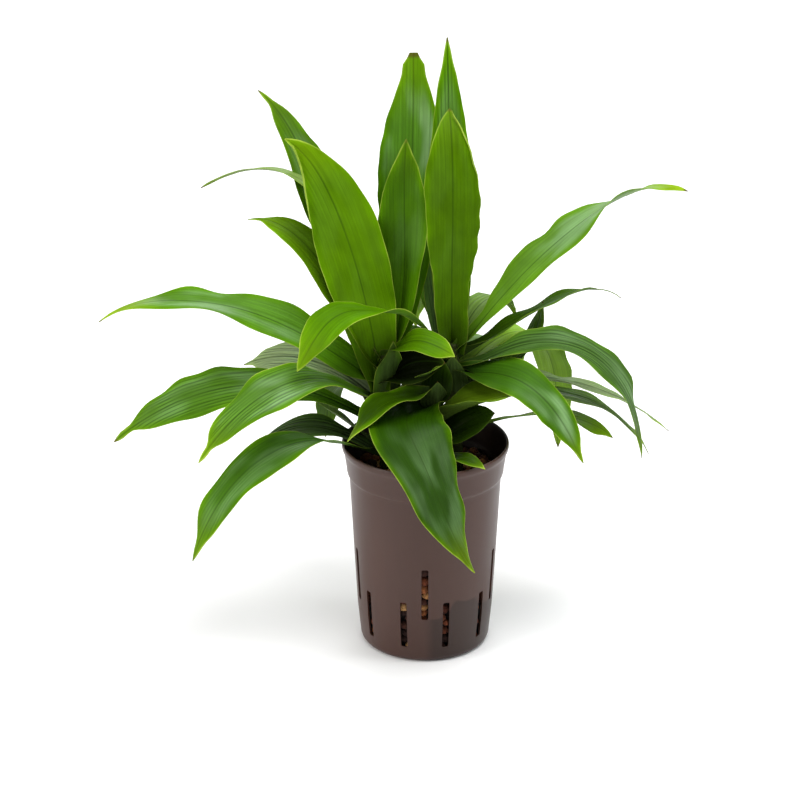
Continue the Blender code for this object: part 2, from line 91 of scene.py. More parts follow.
# The pebbles that show in the slots of the wall, stacked from below each slot to above it: their
# swing to either side in degrees, the gap to the wall, and each step up in radii. Their lumps
# reach a little past their radius.
STACK_BELOW = 2.0
STACK_ABOVE = 5.0
STACK_RADIUS = (3.0, 5.4)
STACK_SWING = 3.0
STACK_GAP = (0.2, 2.4)
STACK_STEP_SHARE = (1.3, 1.9)
LUMPY_SHARE = 1.05

# A pebble's breadth and height as shares of its length, and its lumps: how closely they follow
# each other, and how high they are as a share of its radius
PEBBLE_BREADTH = (0.82, 1.0)
PEBBLE_HEIGHT = (0.78, 0.95)
PEBBLE_LUMPS = ((1.6, 0.11), (5.0, 0.04))
PEBBLE_SHADES = ("6b3419", "8a5029", "4c2110", "b07c4a", "34160b", "5e2e16", "c49560", "401d10",
                 "2a120a")

# The dark core, which stands for the pebbles that nothing shows, is painted near black: painted
# shade for the shade deep among them
CORE_LEVELS = (4.0, 20.0, 60.0, 110.0, 150.0)
CORE_TOP = 151.0
CORE_INSET = 7.0
CORE_SEGMENTS = 48
CORE_PAINTED_SHADE = "140a06"

# The canes, with a ring at the scar of each fallen leaf
SOIL_LINE = 165.0
CANE_FOOT = -8.0
CANE_STEP = 1.0
CANE_RADIUS = 6.5
CANE_SIDES = 28
CANE_TAPER = 24.0
CANE_TIP_SHARE = 0.5
RING_SPACING = 7.0
RING_DEPTH = 0.5

# The leaves. One whose base is at the height of UPPER_LEAF or above goes into the upper piece.
UPPER_LEAF = 70
LEAF_THICKNESS = 0.8
EDGE_THICKNESS = 0.3
LEAF_STEP = 5.0
LEAF_ROWS_MIN = 16
LEAF_HALF_COLUMNS = 14
LEAF_SHARP_ANGLE = 60.0
MIDRIB_STEPS = 240
FOLD_SLICES = 8
FOLD_AT_BASE = 1.25

# The base of a leaf clasps its cane: at which share of the cane's radius it starts, how far it
# reaches up the leaf, how wide it is there, and how many degrees it is folded
CLASP_SHARE = 0.8
SHEATH_REACH = 16.0
SHEATH_HALF_WIDTH = 10.0
SHEATH_FOLD = 50.0

# The outline of a leaf: half widths at shares of its length. The first three are the width of its
# neck, a little more at its two ends, and the fourth follows the neck from a start.
OUTLINE_AT = (0.0, 0.06, 0.16, 0.30, 0.46, 0.60, 0.74, 0.86, 0.95, 1.0)
OUTLINE_TAIL = (0.96, 1.0, 0.86, 0.56, 0.24, 0.02)
OUTLINE_FULL = 0.58
NECK_FLARE = 0.10
SHOULDER_START = 0.5
SHOULDER_NECK_SHARE = 0.62

# The tip is drawn out or blunt around one share of the length, over another
DRAWN_TIP = (0.93, 0.04)
BLUNT_TIP = (0.985, 0.035)
BLUNT_HALF_WIDTH = 3.5

# The edges: how many radians the waves of the left one are ahead, how they wander in and out, how
# much they buckle for it, the half width from which the pleats are at their full height, and how
# soon the waves and the pleats swell along the leaf
WAVE_LEAD = 1.9
WANDER_WAVES = 4
WANDER_LENGTH = (20.0, 80.0)
WANDER_FADE = 0.15
BUCKLE_SHARE = 0.8
PLEATED_HALF_WIDTH = 12.0
WAVE_SWELL = 0.7
PLEAT_SWELL = 0.8

# A rolled edge: the share of the length where it starts, over which it builds up, and over which
# it ends before the tip, how far it turns in degrees, and how pale it is
ROLLED_FROM = 0.5
ROLLED_BUILD = 0.25
ROLLED_END = 0.04
ROLLED_TURN = 170.0
ROLLED_PALE = 0.75

# The strips of the leaves' map: where one starts in its column and its row, how much of them it
# fills, and the border for the rim
STRIP_START = (0.012, 0.06)
STRIP_FILL = (0.474, 0.88)
STRIP_BORDER = 0.01

# A shoot: where its cane leaves the soil, how far it leans aside for each LEAN_HEIGHT that it
# rises, and how high it ends above the soil
LEAN_HEIGHT = 100.0
Shoot = namedtuple("Shoot", "x y lean_x lean_y top")
LEFT = Shoot(-34, 2, -2, 2, 104)
RIGHT = Shoot(27, 4, -3, 2, 114)
FRONT = Shoot(6, -14, 2, -4, 76)

# A leaf: the height of its base above the soil, its length and width, then bearing, pitch and roll
# in degrees at even steps from base to tip, the fold along its midrib, the curl of each half, the
# height, number and start of the waves in its edges, how narrow its neck is, and where it is widest
Leaf = namedtuple("Leaf", "label height length width bearing pitch roll fold curl wave waves start "
                          "neck full")

LEFT_LEAVES = (
    Leaf("broad left", 75, 240, 60, (158,), (86, 80, 76, 72, 66, 55, 25), (64,),
         14, -10, 3, 2.5, 0.0, 0.52, 0.56),
    Leaf("dark upright", 94, 210, 47, (46, 66, 110), (62, 78, 90, 97, 104), (0,),
         28, 0, 2, 2.5, 1.0, 0.50, 0.56),
    Leaf("tall blunt", 94, 278, 60, (69, 63, 75, 93), (46, 72, 82, 85, 88), (0,),
         18, -10, 2, 2.5, 2.0, 0.50, 0.58),
    Leaf("pointed upper left", 95, 275, 40, (128, 128, 130), (57, 55, 56, 46, 16), (10,),
         20, -5, 2, 2.5, 0.0, 0.42, 0.50),
    Leaf("high arching left", 90, 292, 36, (126, 136, 147, 154, 156), (69, 71, 47, -5, -38),
         (-10, -26, -22, -14, -34), 18, -10, 2, 2.5, 1.0, 0.45, 0.55),
    Leaf("small arching left", 84, 195, 38, (156, 154, 150), (66, 62, 52, 30, -20), (20, 20, 8),
         20, -5, 2, 2.5, 2.0, 0.45, 0.53),
    Leaf("long left", 76, 268, 40, (180,), (40, 34, 25, 10, -6, -38), (45, 42, 30, 15, 8, 5),
         22, -10, 3, 3, 0.5, 0.42, 0.44),
    Leaf("pleated left", 57, 172, 38, (140,), (30, 12, -3, -18, -32), (20, 30, 30),
         16, -10, 3, 2.5, 1.5, 0.40, 0.58),
    Leaf("low left", 40, 255, 40, (188, 188, 185), (34, 23, -2, -23, -42), (40, 40, 35),
         16, -15, 3, 3, 2.5, 0.26, 0.63),
    Leaf("drooping left", 57, 214, 43, (214,), (44, 29, -5, -31, -50), (0, 10, 20, 15, 10),
         16, -15, 3, 2.5, 0.0, 0.28, 0.57),
    Leaf("lowest left", 9, 240, 40, (214, 214, 213), (34, 20, -14, -47, -70), (-45, -10, 15, 12, 5),
         16, -15, 3, 2.5, 1.0, 0.30, 0.60),
    Leaf("short left", 8, 134, 32, (182,), (42, 28, 4, -28, -44), (15, 10, 5),
         18, -10, 2, 2, 2.0, 0.36, 0.58),
    Leaf("small low left", 16, 108, 20, (160,), (30, 32, 28, 26, 22), (-25,),
         20, -10, 1, 2, 2.0, 0.36, 0.58),
    Leaf("bright hanging left", 50, 122, 32, (135, 132, 128), (34, 14, -40, -76, -88), (0,),
         14, -10, 2, 2, 0.0, 0.40, 0.60),
    Leaf("crooked front", 102, 77, 28, (312, 334, 354), (51, 38, -12, -34), (0, -20, -30, -34),
         16, -10, 2, 2, 0.0, 0.52, 0.62),
    Leaf("rear left upper", 70, 250, 44, (104, 102, 98), (58, 42, 12, -25, -55), (0,),
         18, -10, 3, 2.5, 0.5, 0.40, 0.58),
    Leaf("rear left middle", 60, 232, 42, (84, 82, 80), (56, 34, 0, -38, -62), (0,),
         18, -10, 3, 2.5, 1.5, 0.40, 0.58),
    Leaf("rear left lower", 30, 215, 42, (112,), (46, 24, -8, -42, -66), (0,),
         18, -10, 3, 2.5, 2.5, 0.40, 0.58),
    Leaf("thin crossing", 60, 70, 15, (330,), (44, 44, 42, 36), (0,),
         45, 0, 1, 2, 0.0, 0.60, 0.50),
    Leaf("dark crossing", 80, 60, 43, (336, 340, 350), (58, 42, 10, -6), (-34, -46, -50),
         8, -10, 1, 2, 1.0, 0.64, 0.50),
    Leaf("short base left", 46, 77, 30, (300, 302, 304), (86, 84, 82), (0,),
         24, -10, 1, 2, 0.0, 0.60, 0.46),
)

RIGHT_LEAVES = (
    Leaf("broad right", 106, 222, 49, (104, 101, 94), (88, 88, 92, 93, 88, 66, 30), (0,),
         14, -10, 4, 2, 1.0, 0.56, 0.66),
    Leaf("tall pointed", 98, 281, 41, (96,), (70, 78, 82, 80, 74), (0,),
         24, 0, 2, 2.5, 0.0, 0.50, 0.46),
    Leaf("crossing forward", 88, 198, 36, (186, 203, 210, 208), (69, 60, 18, 9, -46, -60),
         (0, -20, -15, 25, 28), 18, -10, 2, 2.5, 0.0, 0.16, 0.68),
    Leaf("broad drooping right", 87, 152, 37, (334, 332, 329), (18, 2, -30, -53, -62),
         (-20, -30, -35), 14, -15, 2, 2.5, 0.0, 0.46, 0.42),
    Leaf("high arching right", 106, 262, 36, (20,), (52, 45, 36, 20, -25), (-25, -25, -25, 28, -30),
         18, -5, 3, 3, 0.0, 0.30, 0.56),
    Leaf("rising right", 100, 164, 20, (18,), (28, 27, 24, 8, -44), (0, 0, 12, 20),
         30, -5, 2, 3, 0.0, 0.50, 0.48),
    Leaf("hooked right", 86, 236, 37, (0,), (33, 22, -9, -47, -71, -85), (-15, -18, -15),
         24, -10, 3, 3, 0.0, 0.32, 0.54),
    Leaf("low right upper", 70, 222, 28, (22, 20, 18), (11, -6, -20, -32, -46), (0,),
         20, -10, 2, 3, 0.0, 0.40, 0.55),
    Leaf("low right lower", 56, 194, 26, (6,), (16, 6, -16, -38, -66), (0,),
         20, -10, 2, 3, 1.0, 0.40, 0.55),
    Leaf("narrow low right", 26, 156, 30, (20,), (26, 6, -8, -24, -46), (28, 30, 26, -15, -30),
         16, -10, 2, 2, 0.0, 0.48, 0.68),
    Leaf("bright hanging right", 84, 230, 42, (41, 46, 53), (36, 6, -50, -82, -88), (0,),
         14, -10, 2, 2.5, 0.0, 0.40, 0.60),
    Leaf("rising behind right", 78, 112, 30, (22,), (14, 14, 30, 66, 84), (0,),
         22, -10, 2, 2, 0.0, 0.40, 0.58),
    Leaf("small curled right", 104, 124, 28, (62, 58, 52), (56, 32, 2, -32, -66), (0,),
         20, -10, 2, 2, 0.0, 0.42, 0.55),
    Leaf("short upright behind", 88, 108, 28, (120, 112, 105), (70, 68, 66, 66), (0, 10, 20),
         18, -5, 1, 2, 0.0, 0.46, 0.55),
    Leaf("rear right upper", 84, 250, 44, (108, 106, 104), (58, 42, 12, -25, -55), (0,),
         18, -10, 3, 2.5, 0.5, 0.40, 0.58),
    Leaf("rear right middle", 54, 225, 42, (74, 72, 70), (34, 12, -16, -46, -66), (0,),
         18, -10, 3, 2.5, 1.5, 0.40, 0.58),
    Leaf("rear right lower", 52, 200, 40, (124, 118, 112), (50, 28, -4, -40, -62), (0,),
         18, -10, 3, 2.5, 2.5, 0.40, 0.58),
    Leaf("short dark right", 84, 44, 34, (356, 352, 348), (12, 8, 2, -8), (-10,),
         24, -10, 2, 2, 1.0, 0.46, 0.55),
    Leaf("short base right", 48, 58, 31, (252, 254, 258), (88, 88, 87), (0,),
         26, -10, 1, 2, 0.0, 0.60, 0.50),
)

FRONT_LEAVES = (
    Leaf("broad tongue", 58, 199, 72, (216, 272, 317, 324, 344), (36, -10, -56, -61, -54), (0,),
         10, -12, 1.5, 2.5, 0.0, 0.50, 0.45),
    Leaf("short front left", 74.8, 99, 35, (222, 216, 194), (20, 12, -6, -46, -52), (0, -2, -2),
         16, -10, 2, 2, 0.0, 0.46, 0.48),
    Leaf("folded front right", 48, 74, 54, (346,), (44, 34, 26, 21, 17), (0,),
         44, -5, 1, 2, 0.0, 0.46, 0.64),
    Leaf("small over the rim", 10, 76, 24, (306,), (32, 28, 18, 8, -4), (0,),
         20, -5, 1, 2, 0.0, 0.60, 0.50),
    Leaf("low behind", 34, 105, 34, (122, 110, 98), (40, 24, 4, -14, -34), (0,),
         20, -10, 2, 2, 0.0, 0.46, 0.56),
    Leaf("upright behind", 56, 48, 30, (66,), (80, 76, 72, 66), (0,),
         20, -10, 1, 2, 0.0, 0.56, 0.50),
    Leaf("small front right", 26, 66, 40, (340,), (50, 42, 34, 26), (-30, -35, -40),
         20, -5, 1, 2, 0.0, 0.50, 0.52),
    Leaf("short base front", 46, 46, 26, (290,), (87, 84, 80), (0,),
         34, -10, 1, 2, 0.0, 0.60, 0.48),
)

# A small inner leaf of the right shoot, which closes the chinks in the heart of the crown
INNER_LEAF = Leaf("inner crossing", 57, 52, 30, (174,), (31,), (-60,),
                  16, -10, 1, 2, 0.0, 0.75, 0.60)

# How a leaf looks: its green, how much painted sheen it has (a paler, greyer green that stands for
# the soft reflections on it), how high its pleats are in millimetres and how many each half has,
# how yellow its tip is, how bright its margin, how strong its ribs, how much its tip is drawn out
# (or, below zero, blunt), how far its edges wander in millimetres, and how many millimetres of its
# right edge (below zero, its left edge) are rolled over
Look = namedtuple("Look", "green bloom pleat pleats tip margin ribs drawn ragged rolled",
                  defaults=("4a7010", 0.3, 0.25, 3, 0.3, 0.7, 0.3, 0.3, 0.7, 0.0))
# Near-black green for the small leaves deep in the crown: painted shade, for the shade they lie in
SHADED = Look("223804", 0.0, 0.3, 3, 0.0, 0.1, 0.3, 0.0)
LOOKS = {
    "broad left": Look("568002", 0.03, 0.1, 3, 0.3, 0.8, 0.1, -0.1, 0.3, -6.0),
    "dark upright": Look("467202", 0.1, 0.2, 3, 0.1, 0.7, 0.15, 0.1, 0.3),
    "tall blunt": Look("4f8204", 0.85, 0.2, 3, 0.2, 0.5, 0.2, -1.0, 0.4),
    "pointed upper left": Look("426802", 0.2, 0.2, 3, 0.1, 0.5, 0.2, 0.5),
    "high arching left": Look("7c9640", 0.3, 0.3, 3, 0.4, 0.4, 0.3, 0.4),
    "small arching left": Look("5a8002", 0.05, 0.3, 3, 0.2, 0.7, 0.25, 0.5),
    "long left": Look("4e7e0c", 0.7, 0.2, 3, 1.0, 0.5, 0.2, -0.3, 0.9),
    # Pale grey green: partly the leaf's own colour and partly painted sheen
    "pleated left": Look("83966a", 0.4, 0.6, 3, 0.1, 0.2, 1.0, 0.4),
    "low left": Look("487212", 0.35, 0.45, 3, 0.1, 0.5, 0.75, 0.6, 0.9),
    "drooping left": Look("4c7812", 0.9, 0.4, 3, 0.3, 0.8, 0.7, 0.6, 0.9),
    "lowest left": Look("42700c", 0.35, 0.2, 3, 0.2, 0.8, 0.3, 0.2, 0.9),
    "short left": Look("4c6238", 0.3, 0.5, 3, 0.1, 0.4, 0.9, 0.3),
    "small low left": Look("8aa264", 0.3, 0.4, 3, 0.2, 0.4, 0.5, 0.3),
    "bright hanging left": Look("58802a", 0.15, 0.2, 3, 0.3, 0.5, 0.25, 0.2),
    "crooked front": Look("548204", 0.1, 0.2, 3, 0.3, 0.9, 0.2, 0.2),
    "thin crossing": Look("4f7020", 0.1, 0.2, 2, 0.2, 0.8, 0.2, 0.2),
    # Near-black green: painted shade, for the shade of the leaves above it
    "dark crossing": Look("141c04", 0.0, 0.3, 3, 0.0, 0.2, 0.3, 0.2),
    "broad right": Look("4a7000", 0.03, 0.1, 3, 0.1, 0.6, 0.12, 0.0, 0.6, 4.5),
    "tall pointed": Look("4e7e02", 0.35, 0.3, 3, 0.0, 0.5, 0.6, 0.1, 0.3),
    "crossing forward": Look("4e7c00", 0.08, 0.2, 3, 0.3, 0.9, 0.15, 0.1),
    "broad drooping right": Look("3c680c", 0.95, 0.1, 4, 0.3, 0.7, 0.12, 0.3, 0.8),
    "high arching right": Look("5a861a", 0.85, 0.1, 3, 1.0, 0.4, 0.12, 0.2, 0.8),
    "rising right": Look("44680a", 0.25, 0.4, 3, 0.2, 0.4, 0.35, 0.5),
    "hooked right": Look("446626", 0.5, 0.6, 3, 0.2, 0.5, 0.8, 0.4, 0.9),
    "low right upper": Look("869a6a", 0.5, 0.5, 3, 0.2, 0.4, 0.9, 0.6),
    "low right lower": Look("668440", 0.5, 0.5, 3, 0.2, 0.4, 0.9, 0.4),
    "narrow low right": Look("608604", 0.1, 0.3, 3, 0.2, 0.5, 0.2, 0.2),
    "bright hanging right": Look("98c440", 0.0, 0.2, 3, 0.2, 0.5, 0.2, 0.2),
    "rising behind right": Look("4c6c1c", 0.15, 0.3, 3, 0.1, 0.3, 0.3, 0.1),
    "small curled right": Look("6c8c3c", 0.35, 0.3, 3, 0.5, 0.4, 0.35, 0.2),
    "short upright behind": Look("5e7c44", 0.4, 0.4, 3, 0.1, 0.5, 0.4, 0.2),
    "broad tongue": Look("244400", 0.3, 0.05, 3, 0.4, 0.75, 0.08, 0.2, 0.6),
    "short front left": Look("2c4800", 0.05, 0.2, 3, 0.4, 0.9, 0.12, 0.0),
    "folded front right": Look("5e7c10", 0.05, 0.1, 3, 0.1, 0.4, 0.15, 0.0),
    "small over the rim": Look("3c6000", 0.05, 0.2, 3, 0.3, 0.8, 0.2, 0.2),
    # These small leaves deep in the crown take the painted shade of SHADED
    "short dark right": SHADED,
    "small front right": SHADED,
    "inner crossing": SHADED,
    # Dark green: painted shade, for the shade deep in the crown
    "short base left": Look("284600", 0.0, 0.2, 3, 0.1, 0.6, 0.2, 0.0),
    "short base right": SHADED,
    "short base front": SHADED,
    "upright behind": SHADED,
}

# What the mesh of a leaf carries to its material. Along, across from the midrib and in from the
# edge are in millimetres, and share is a share of the leaf's length.
LEAF_ATTRIBUTES = {
    "blade": ("along", "across", "number"),
    "detail": ("edge", "underside", "share"),
    "manner": ("yellowing", "brightness", "rib strength"),
}

# Patterns in a leaf: the length and width of one streak in millimetres, a step from one leaf to
# the next, and the detail and roughness of the pattern. A real leaf's veins are finer, and these
# are as coarse as they need to be to show.
LEAF_PATTERNS = (
    ("veins", 83.3, 1.333, 5.3, 3.0, 0.55),
    ("rib drift", 100.0, 4.167, 3.1, 1.5, 0.50),
    ("blotches", 28.57, 16.67, 7.7, 2.0, 0.50),
    ("sheen drift", 55.56, 20.0, 2.3, 1.5, 0.45),
)
RIB_SPACING = 3.14
RIB_DRIFT = 9.0

# How each effect on a leaf fades: its name, what it is read from, from which value of that to
# which, its strength at the one and at the other, and the curve between them. A name in place of
# a value stands for an effect further up.
LEAF_FADES = (
    ("vein shade", "veins", 0.3, 0.7, 0.86, 1.12, "LINEAR"),
    ("blotch shade", "blotches", 0.3, 0.7, 0.84, 1.12, "LINEAR"),
    ("rib patches", "blotches", 0.36, 0.60, 0.25, 1.0, "SMOOTHSTEP"),
    ("rib reach", "edge", 1.0, 5.0, 0.0, 1.0, "LINEAR"),
    # Painted shade in the narrow grooves between the ribs, and a little painted light on the ribs
    ("painted groove shade", "ribs", -1.0, 0.6, -0.55, 0.16, "SMOOTHSTEP"),
    # Painted sheen: a paler, greyer green in streaks down the middle of a leaf, for soft
    # reflections
    ("sheen middle", "edge", 1.5, 8.0, 0.0, 1.0, "SMOOTHSTEP"),
    ("sheen streaks", "sheen drift", 0.40, 0.62, 0.12, 1.0, "SMOOTHSTEP"),
    ("sheen begins", "along", 45.0, 110.0, 0.0, 1.0, "SMOOTHSTEP"),
    ("sheen ends", "share", 0.76, 0.94, 1.0, 0.1, "SMOOTHSTEP"),
    # Painted shade: a dark line along the midrib, for the shade in its groove
    ("midrib", "off midrib", 0.2, 1.1, 0.5, 0.0, "SMOOTHSTEP"),
    ("near edge", "edge", 0.5, 8.0, 0.60, 0.0, "SMOOTHSTEP"),
    ("edge patches", "blotches", 0.32, 0.6, 0.25, 1.0, "LINEAR"),
    ("near tip", "share", 0.74, 1.0, 0.0, 0.85, "SMOOTHSTEP"),
    ("margin width", "share", 0.80, 0.96, 0.75, 1.9, "LINEAR"),
    ("margin", "edge", 0.15, "margin width", 0.9, 0.0, "SMOOTHSTEP"),
    ("very tip", "share", 0.978, 0.992, 0.0, 2.0, "SMOOTHSTEP"),
    # Painted shade: a leaf darker towards its base, for the shade deep in the crown
    ("painted crown shade", "along", 0.0, 72.0, 0.27, 1.0, "SMOOTHSTEP"),
    ("roughness", "veins", 0.3, 0.7, 0.34, 0.50, "LINEAR"),
)

# Effects on a leaf that are several others multiplied
LEAF_PRODUCTS = (
    ("ribbing", ("rib patches", "rib strength", "rib reach")),
    ("bloom", ("sheen share", "sheen middle", "sheen streaks", "sheen begins", "sheen ends")),
    ("edge tint", ("near edge", "brightness", "edge patches")),
    ("tip tint", ("near tip", "yellowing")),
    ("margin line", ("margin", "edge patches", "brightness")),
    ("dry tip", ("very tip", "dullness")),
)

# Coats of colour on a leaf, one over the other: first the painted sheen, the dark line of the
# midrib (painted shade in its groove), the paler and greyer underside, the bright edge and the
# yellow tip, and over the shading of all these (veins, blotches, and painted shade in the grooves
# between the ribs) the pale line of the margin and the dried tip; last of all the painted shade
# deep in the crown
LEAF_COATS = (("bloom", "7aa066"), ("midrib", "263f06"), ("underside tint", "6a8446"),
              ("edge tint", "5f9200"), ("tip tint", "94b414"))
LEAF_LINES = (("margin line", "b2c650"), ("dry tip", "54491f"))
UNDERSIDE_SHARE = 0.40
DRIEST = 0.9
GLOW_SHARE = 0.25
GLOW_TINT = (1.7, 1.5, 0.3)

# Patterns in the other finishes, in millimetres. The grit of the pot is finer on the real one,
# and as coarse here as it needs to be to show.
CANE_GRAIN = 3.846
FLOW_WIDTH = 26.32
FLOW_HEIGHT = 111.1
POT_GRIT = 1.111
CLAY_GRIT = 2.381

# The damp patch low on the right of the pot's front: how much its upper edge wanders and over
# what length, between which heights it ends, and between which distances to the right it starts
DAMP_WANDER = 45.0
DAMP_WANDER_LENGTH = 33.33
DAMP_TOP = (71.0, 75.0)
DAMP_SIDE = (-2.0, 10.0)
DAMP_STRENGTH = 0.8

# The camera, three metres from the middle of the rim and 24 degrees above it
CAMERA_PLACE = (0.0, -2.7406, 1.4102)
CAMERA_TARGET = (-0.0224, 0.0144, 0.2223)
CAMERA_LENS = 153.7
CAMERA_SENSOR = 36.0
CAMERA_REACH = 50.0

# The soft lamps: place and target, width and height, watts and colour
LAMPS = (
    ("overhead", (0.3, -0.3, 2.4), (0.0, 0.0, 0.3), (1.6, 1.6), 62.0, "ffffff"),
    ("left", (-2.0, -1.0, 1.3), (0.0, 0.0, 0.25), (1.2, 1.8), 26.0, "ffffff"),
    ("right", (2.2, -0.4, 1.2), (0.0, 0.0, 0.25), (1.0, 1.8), 16.0, "ffffff"),
    ("low left", (-1.6, -0.3, 0.4), (0.0, 0.0, 0.12), (0.6, 0.5), 8.0, "fff0e4"),
    ("behind", (0.0, 2.2, 1.4), (0.0, 0.0, 0.35), (2.0, 1.4), 22.0, "ffffff"),
)
SURROUND_COLOUR = (0.96, 0.98, 1.0, 1.0)
SURROUND_STRENGTH = 0.55
FLOOR_HALF = 6.0


def linear(hex_colour):
    """A screen colour such as 52443f as linear red, green, blue and alpha."""
    parts = [int(hex_colour[i:i + 2], 16) / 255.0 for i in (0, 2, 4)]
    return [v / 12.92 if v <= 0.04045 else ((v + 0.055) / 1.055) ** 2.4 for v in parts] + [1.0]


def add_node(tree, kind, inputs=None, **settings):
    """Add a node, make its settings, and set its inputs or link them to a node or an output."""
    node = tree.nodes.new("ShaderNode" + kind)
    for name, value in settings.items():
        setattr(node, name, value)
    for socket, value in (inputs or {}).items():
        if isinstance(value, bpy.types.Node):
            value = value.outputs[0]
        if isinstance(value, bpy.types.NodeSocket):
            tree.links.new(value, node.inputs[socket])
        else:
            node.inputs[socket].default_value = value
    return node


def new_material(name):
    """An empty material and its node tree."""
    material = bpy.data.materials.new(name)
    material.use_nodes = True
    material.node_tree.nodes.clear()
    return material, material.node_tree


def leaf_values(tree):
    """What the mesh of a leaf carries to its material, and the patterns on it, by name."""
    leaf = {}
    for name, parts in LEAF_ATTRIBUTES.items():
        leaf[name] = add_node(tree, "Attribute", attribute_name=name).outputs["Vector"]
        apart = add_node(tree, "SeparateXYZ", {"Vector": leaf[name]})
        leaf.update(zip(parts, apart.outputs))
    tone = add_node(tree, "Attribute", attribute_name="tone")
    leaf["green"] = tone.outputs["Color"]
    leaf["sheen share"] = tone.outputs["Alpha"]
    for name, length, width, step, detail, roughness in LEAF_PATTERNS:
        spread = add_node(tree, "VectorMath",
                          {0: leaf["blade"], 1: (1.0 / length, 1.0 / width, step)},
                          operation="MULTIPLY")
        leaf[name] = add_node(tree, "TexNoise", {"Vector": spread, "Scale": 1.0,
                                                 "Detail": detail, "Roughness": roughness})
    return leaf


def add_leaf_effects(tree, leaf):
    """Work out a leaf's effects from its values, and add them to those."""
    # Ribs about 3 mm apart that drift sideways, with a narrow groove between each two darkened by
    # painted shade
    drift = add_node(tree, "Math", {0: leaf["rib drift"], 1: RIB_DRIFT}, operation="MULTIPLY")
    turn = add_node(tree, "Math", {0: leaf["across"], 1: 2 * math.pi / RIB_SPACING, 2: drift},
                    operation="MULTIPLY_ADD")
    leaf["ribs"] = add_node(tree, "Math", {0: turn}, operation="SINE")
    leaf["off midrib"] = add_node(tree, "Math", {0: leaf["across"]}, operation="ABSOLUTE")
    leaf["underside tint"] = add_node(tree, "Math", {0: leaf["underside"], 1: UNDERSIDE_SHARE},
                                      operation="MULTIPLY")
    # The very tip has dried, least where the margin is bright
    leaf["dullness"] = add_node(tree, "Math", {0: DRIEST, 1: leaf["brightness"]},
                                operation="SUBTRACT", use_clamp=True)
    for name, source, start, end, first, last, curve in LEAF_FADES:
        leaf[name] = add_node(tree, "MapRange", {0: leaf[source], 1: start, 2: leaf.get(end, end),
                                                 3: first, 4: last}, interpolation_type=curve)
    for name, factors in LEAF_PRODUCTS:
        leaf[name] = leaf[factors[0]]
        for factor in factors[1:]:
            leaf[name] = add_node(tree, "Math", {0: leaf[name], 1: leaf[factor]},
                                  operation="MULTIPLY")
    # The painted shade of the grooves and the painted light of the ribs scale the colour
    groove_shading = add_node(tree, "Math", {0: leaf["painted groove shade"], 1: leaf["ribbing"], 2: 1.0},
                       operation="MULTIPLY_ADD")
    leaf["shade"] = leaf["vein shade"]
    for shade in (groove_shading, leaf["blotch shade"]):
        leaf["shade"] = add_node(tree, "Math", {0: leaf["shade"], 1: shade}, operation="MULTIPLY")


def living_leaf():
    """Living dracaena leaf: soft shine, lengthwise veins, thin pale margin, painted sheen and
    shade.
    """
    material, tree = new_material("living_leaf")
    leaf = leaf_values(tree)
    add_leaf_effects(tree, leaf)
    colour = leaf["green"]
    # The coats, then the painted shade of the grooves, then the lines, then the painted shade of
    # the crown
    for coats, shade in ((LEAF_COATS, leaf["shade"]), (LEAF_LINES, leaf["painted crown shade"])):
        for name, paint in coats:
            coat = add_node(tree, "Mix", {0: leaf[name], 6: colour, 7: linear(paint)},
                            data_type="RGBA")
            colour = coat.outputs[2]
        colour = add_node(tree, "VectorMath", {0: colour, "Scale": shade}, operation="SCALE")
    shine = add_node(tree, "MapRange", {0: leaf["bloom"], 1: 0.0, 2: 0.6, 3: 0.04, 4: 0.24})
    raised = add_node(tree, "Math", {0: leaf["ribs"], 1: leaf["ribbing"], 2: leaf["veins"]},
                      operation="MULTIPLY_ADD")
    relief = add_node(tree, "Bump", {"Strength": 0.6, "Distance": 0.5 * MM, "Height": raised})
    skin = add_node(tree, "BsdfPrincipled",
                    {"Base Color": colour, "Roughness": leaf["roughness"], "IOR": 1.45,
                     "Specular IOR Level": shine, "Normal": relief})
    # Some of the light comes through the leaf, and is yellower for it
    glow_colour = add_node(tree, "VectorMath", {0: colour, 1: GLOW_TINT}, operation="MULTIPLY")
    glow = add_node(tree, "BsdfTranslucent", {"Color": glow_colour})
    mix = add_node(tree, "MixShader", {0: GLOW_SHARE, 1: skin, 2: glow})
    add_node(tree, "OutputMaterial", {"Surface": mix})
    return material


def woody_cane():
    """Young dracaena cane: dull, olive brown, ringed by the scars of fallen leaves."""
    material, tree = new_material("woody_cane")
    place = add_node(tree, "TexCoord").outputs["Object"]
    grain = add_node(tree, "TexNoise",
                     {"Vector": place, "Scale": 1.0 / (CANE_GRAIN * MM), "Detail": 4.0})
    # Near-black olive: partly the cane's own colour and partly painted shade, for the shade in the
    # crown
    colour = add_node(tree, "Mix", {0: grain, 6: linear("141a06"), 7: linear("2c3410")},
                      data_type="RGBA")
    relief = add_node(tree, "Bump", {"Strength": 0.5, "Distance": 0.4 * MM, "Height": grain})
    skin = add_node(tree, "BsdfPrincipled",
                    {"Base Color": colour.outputs[2], "Roughness": 0.75,
                     "Specular IOR Level": 0.1, "Normal": relief})
    add_node(tree, "OutputMaterial", {"Surface": skin})
    return material


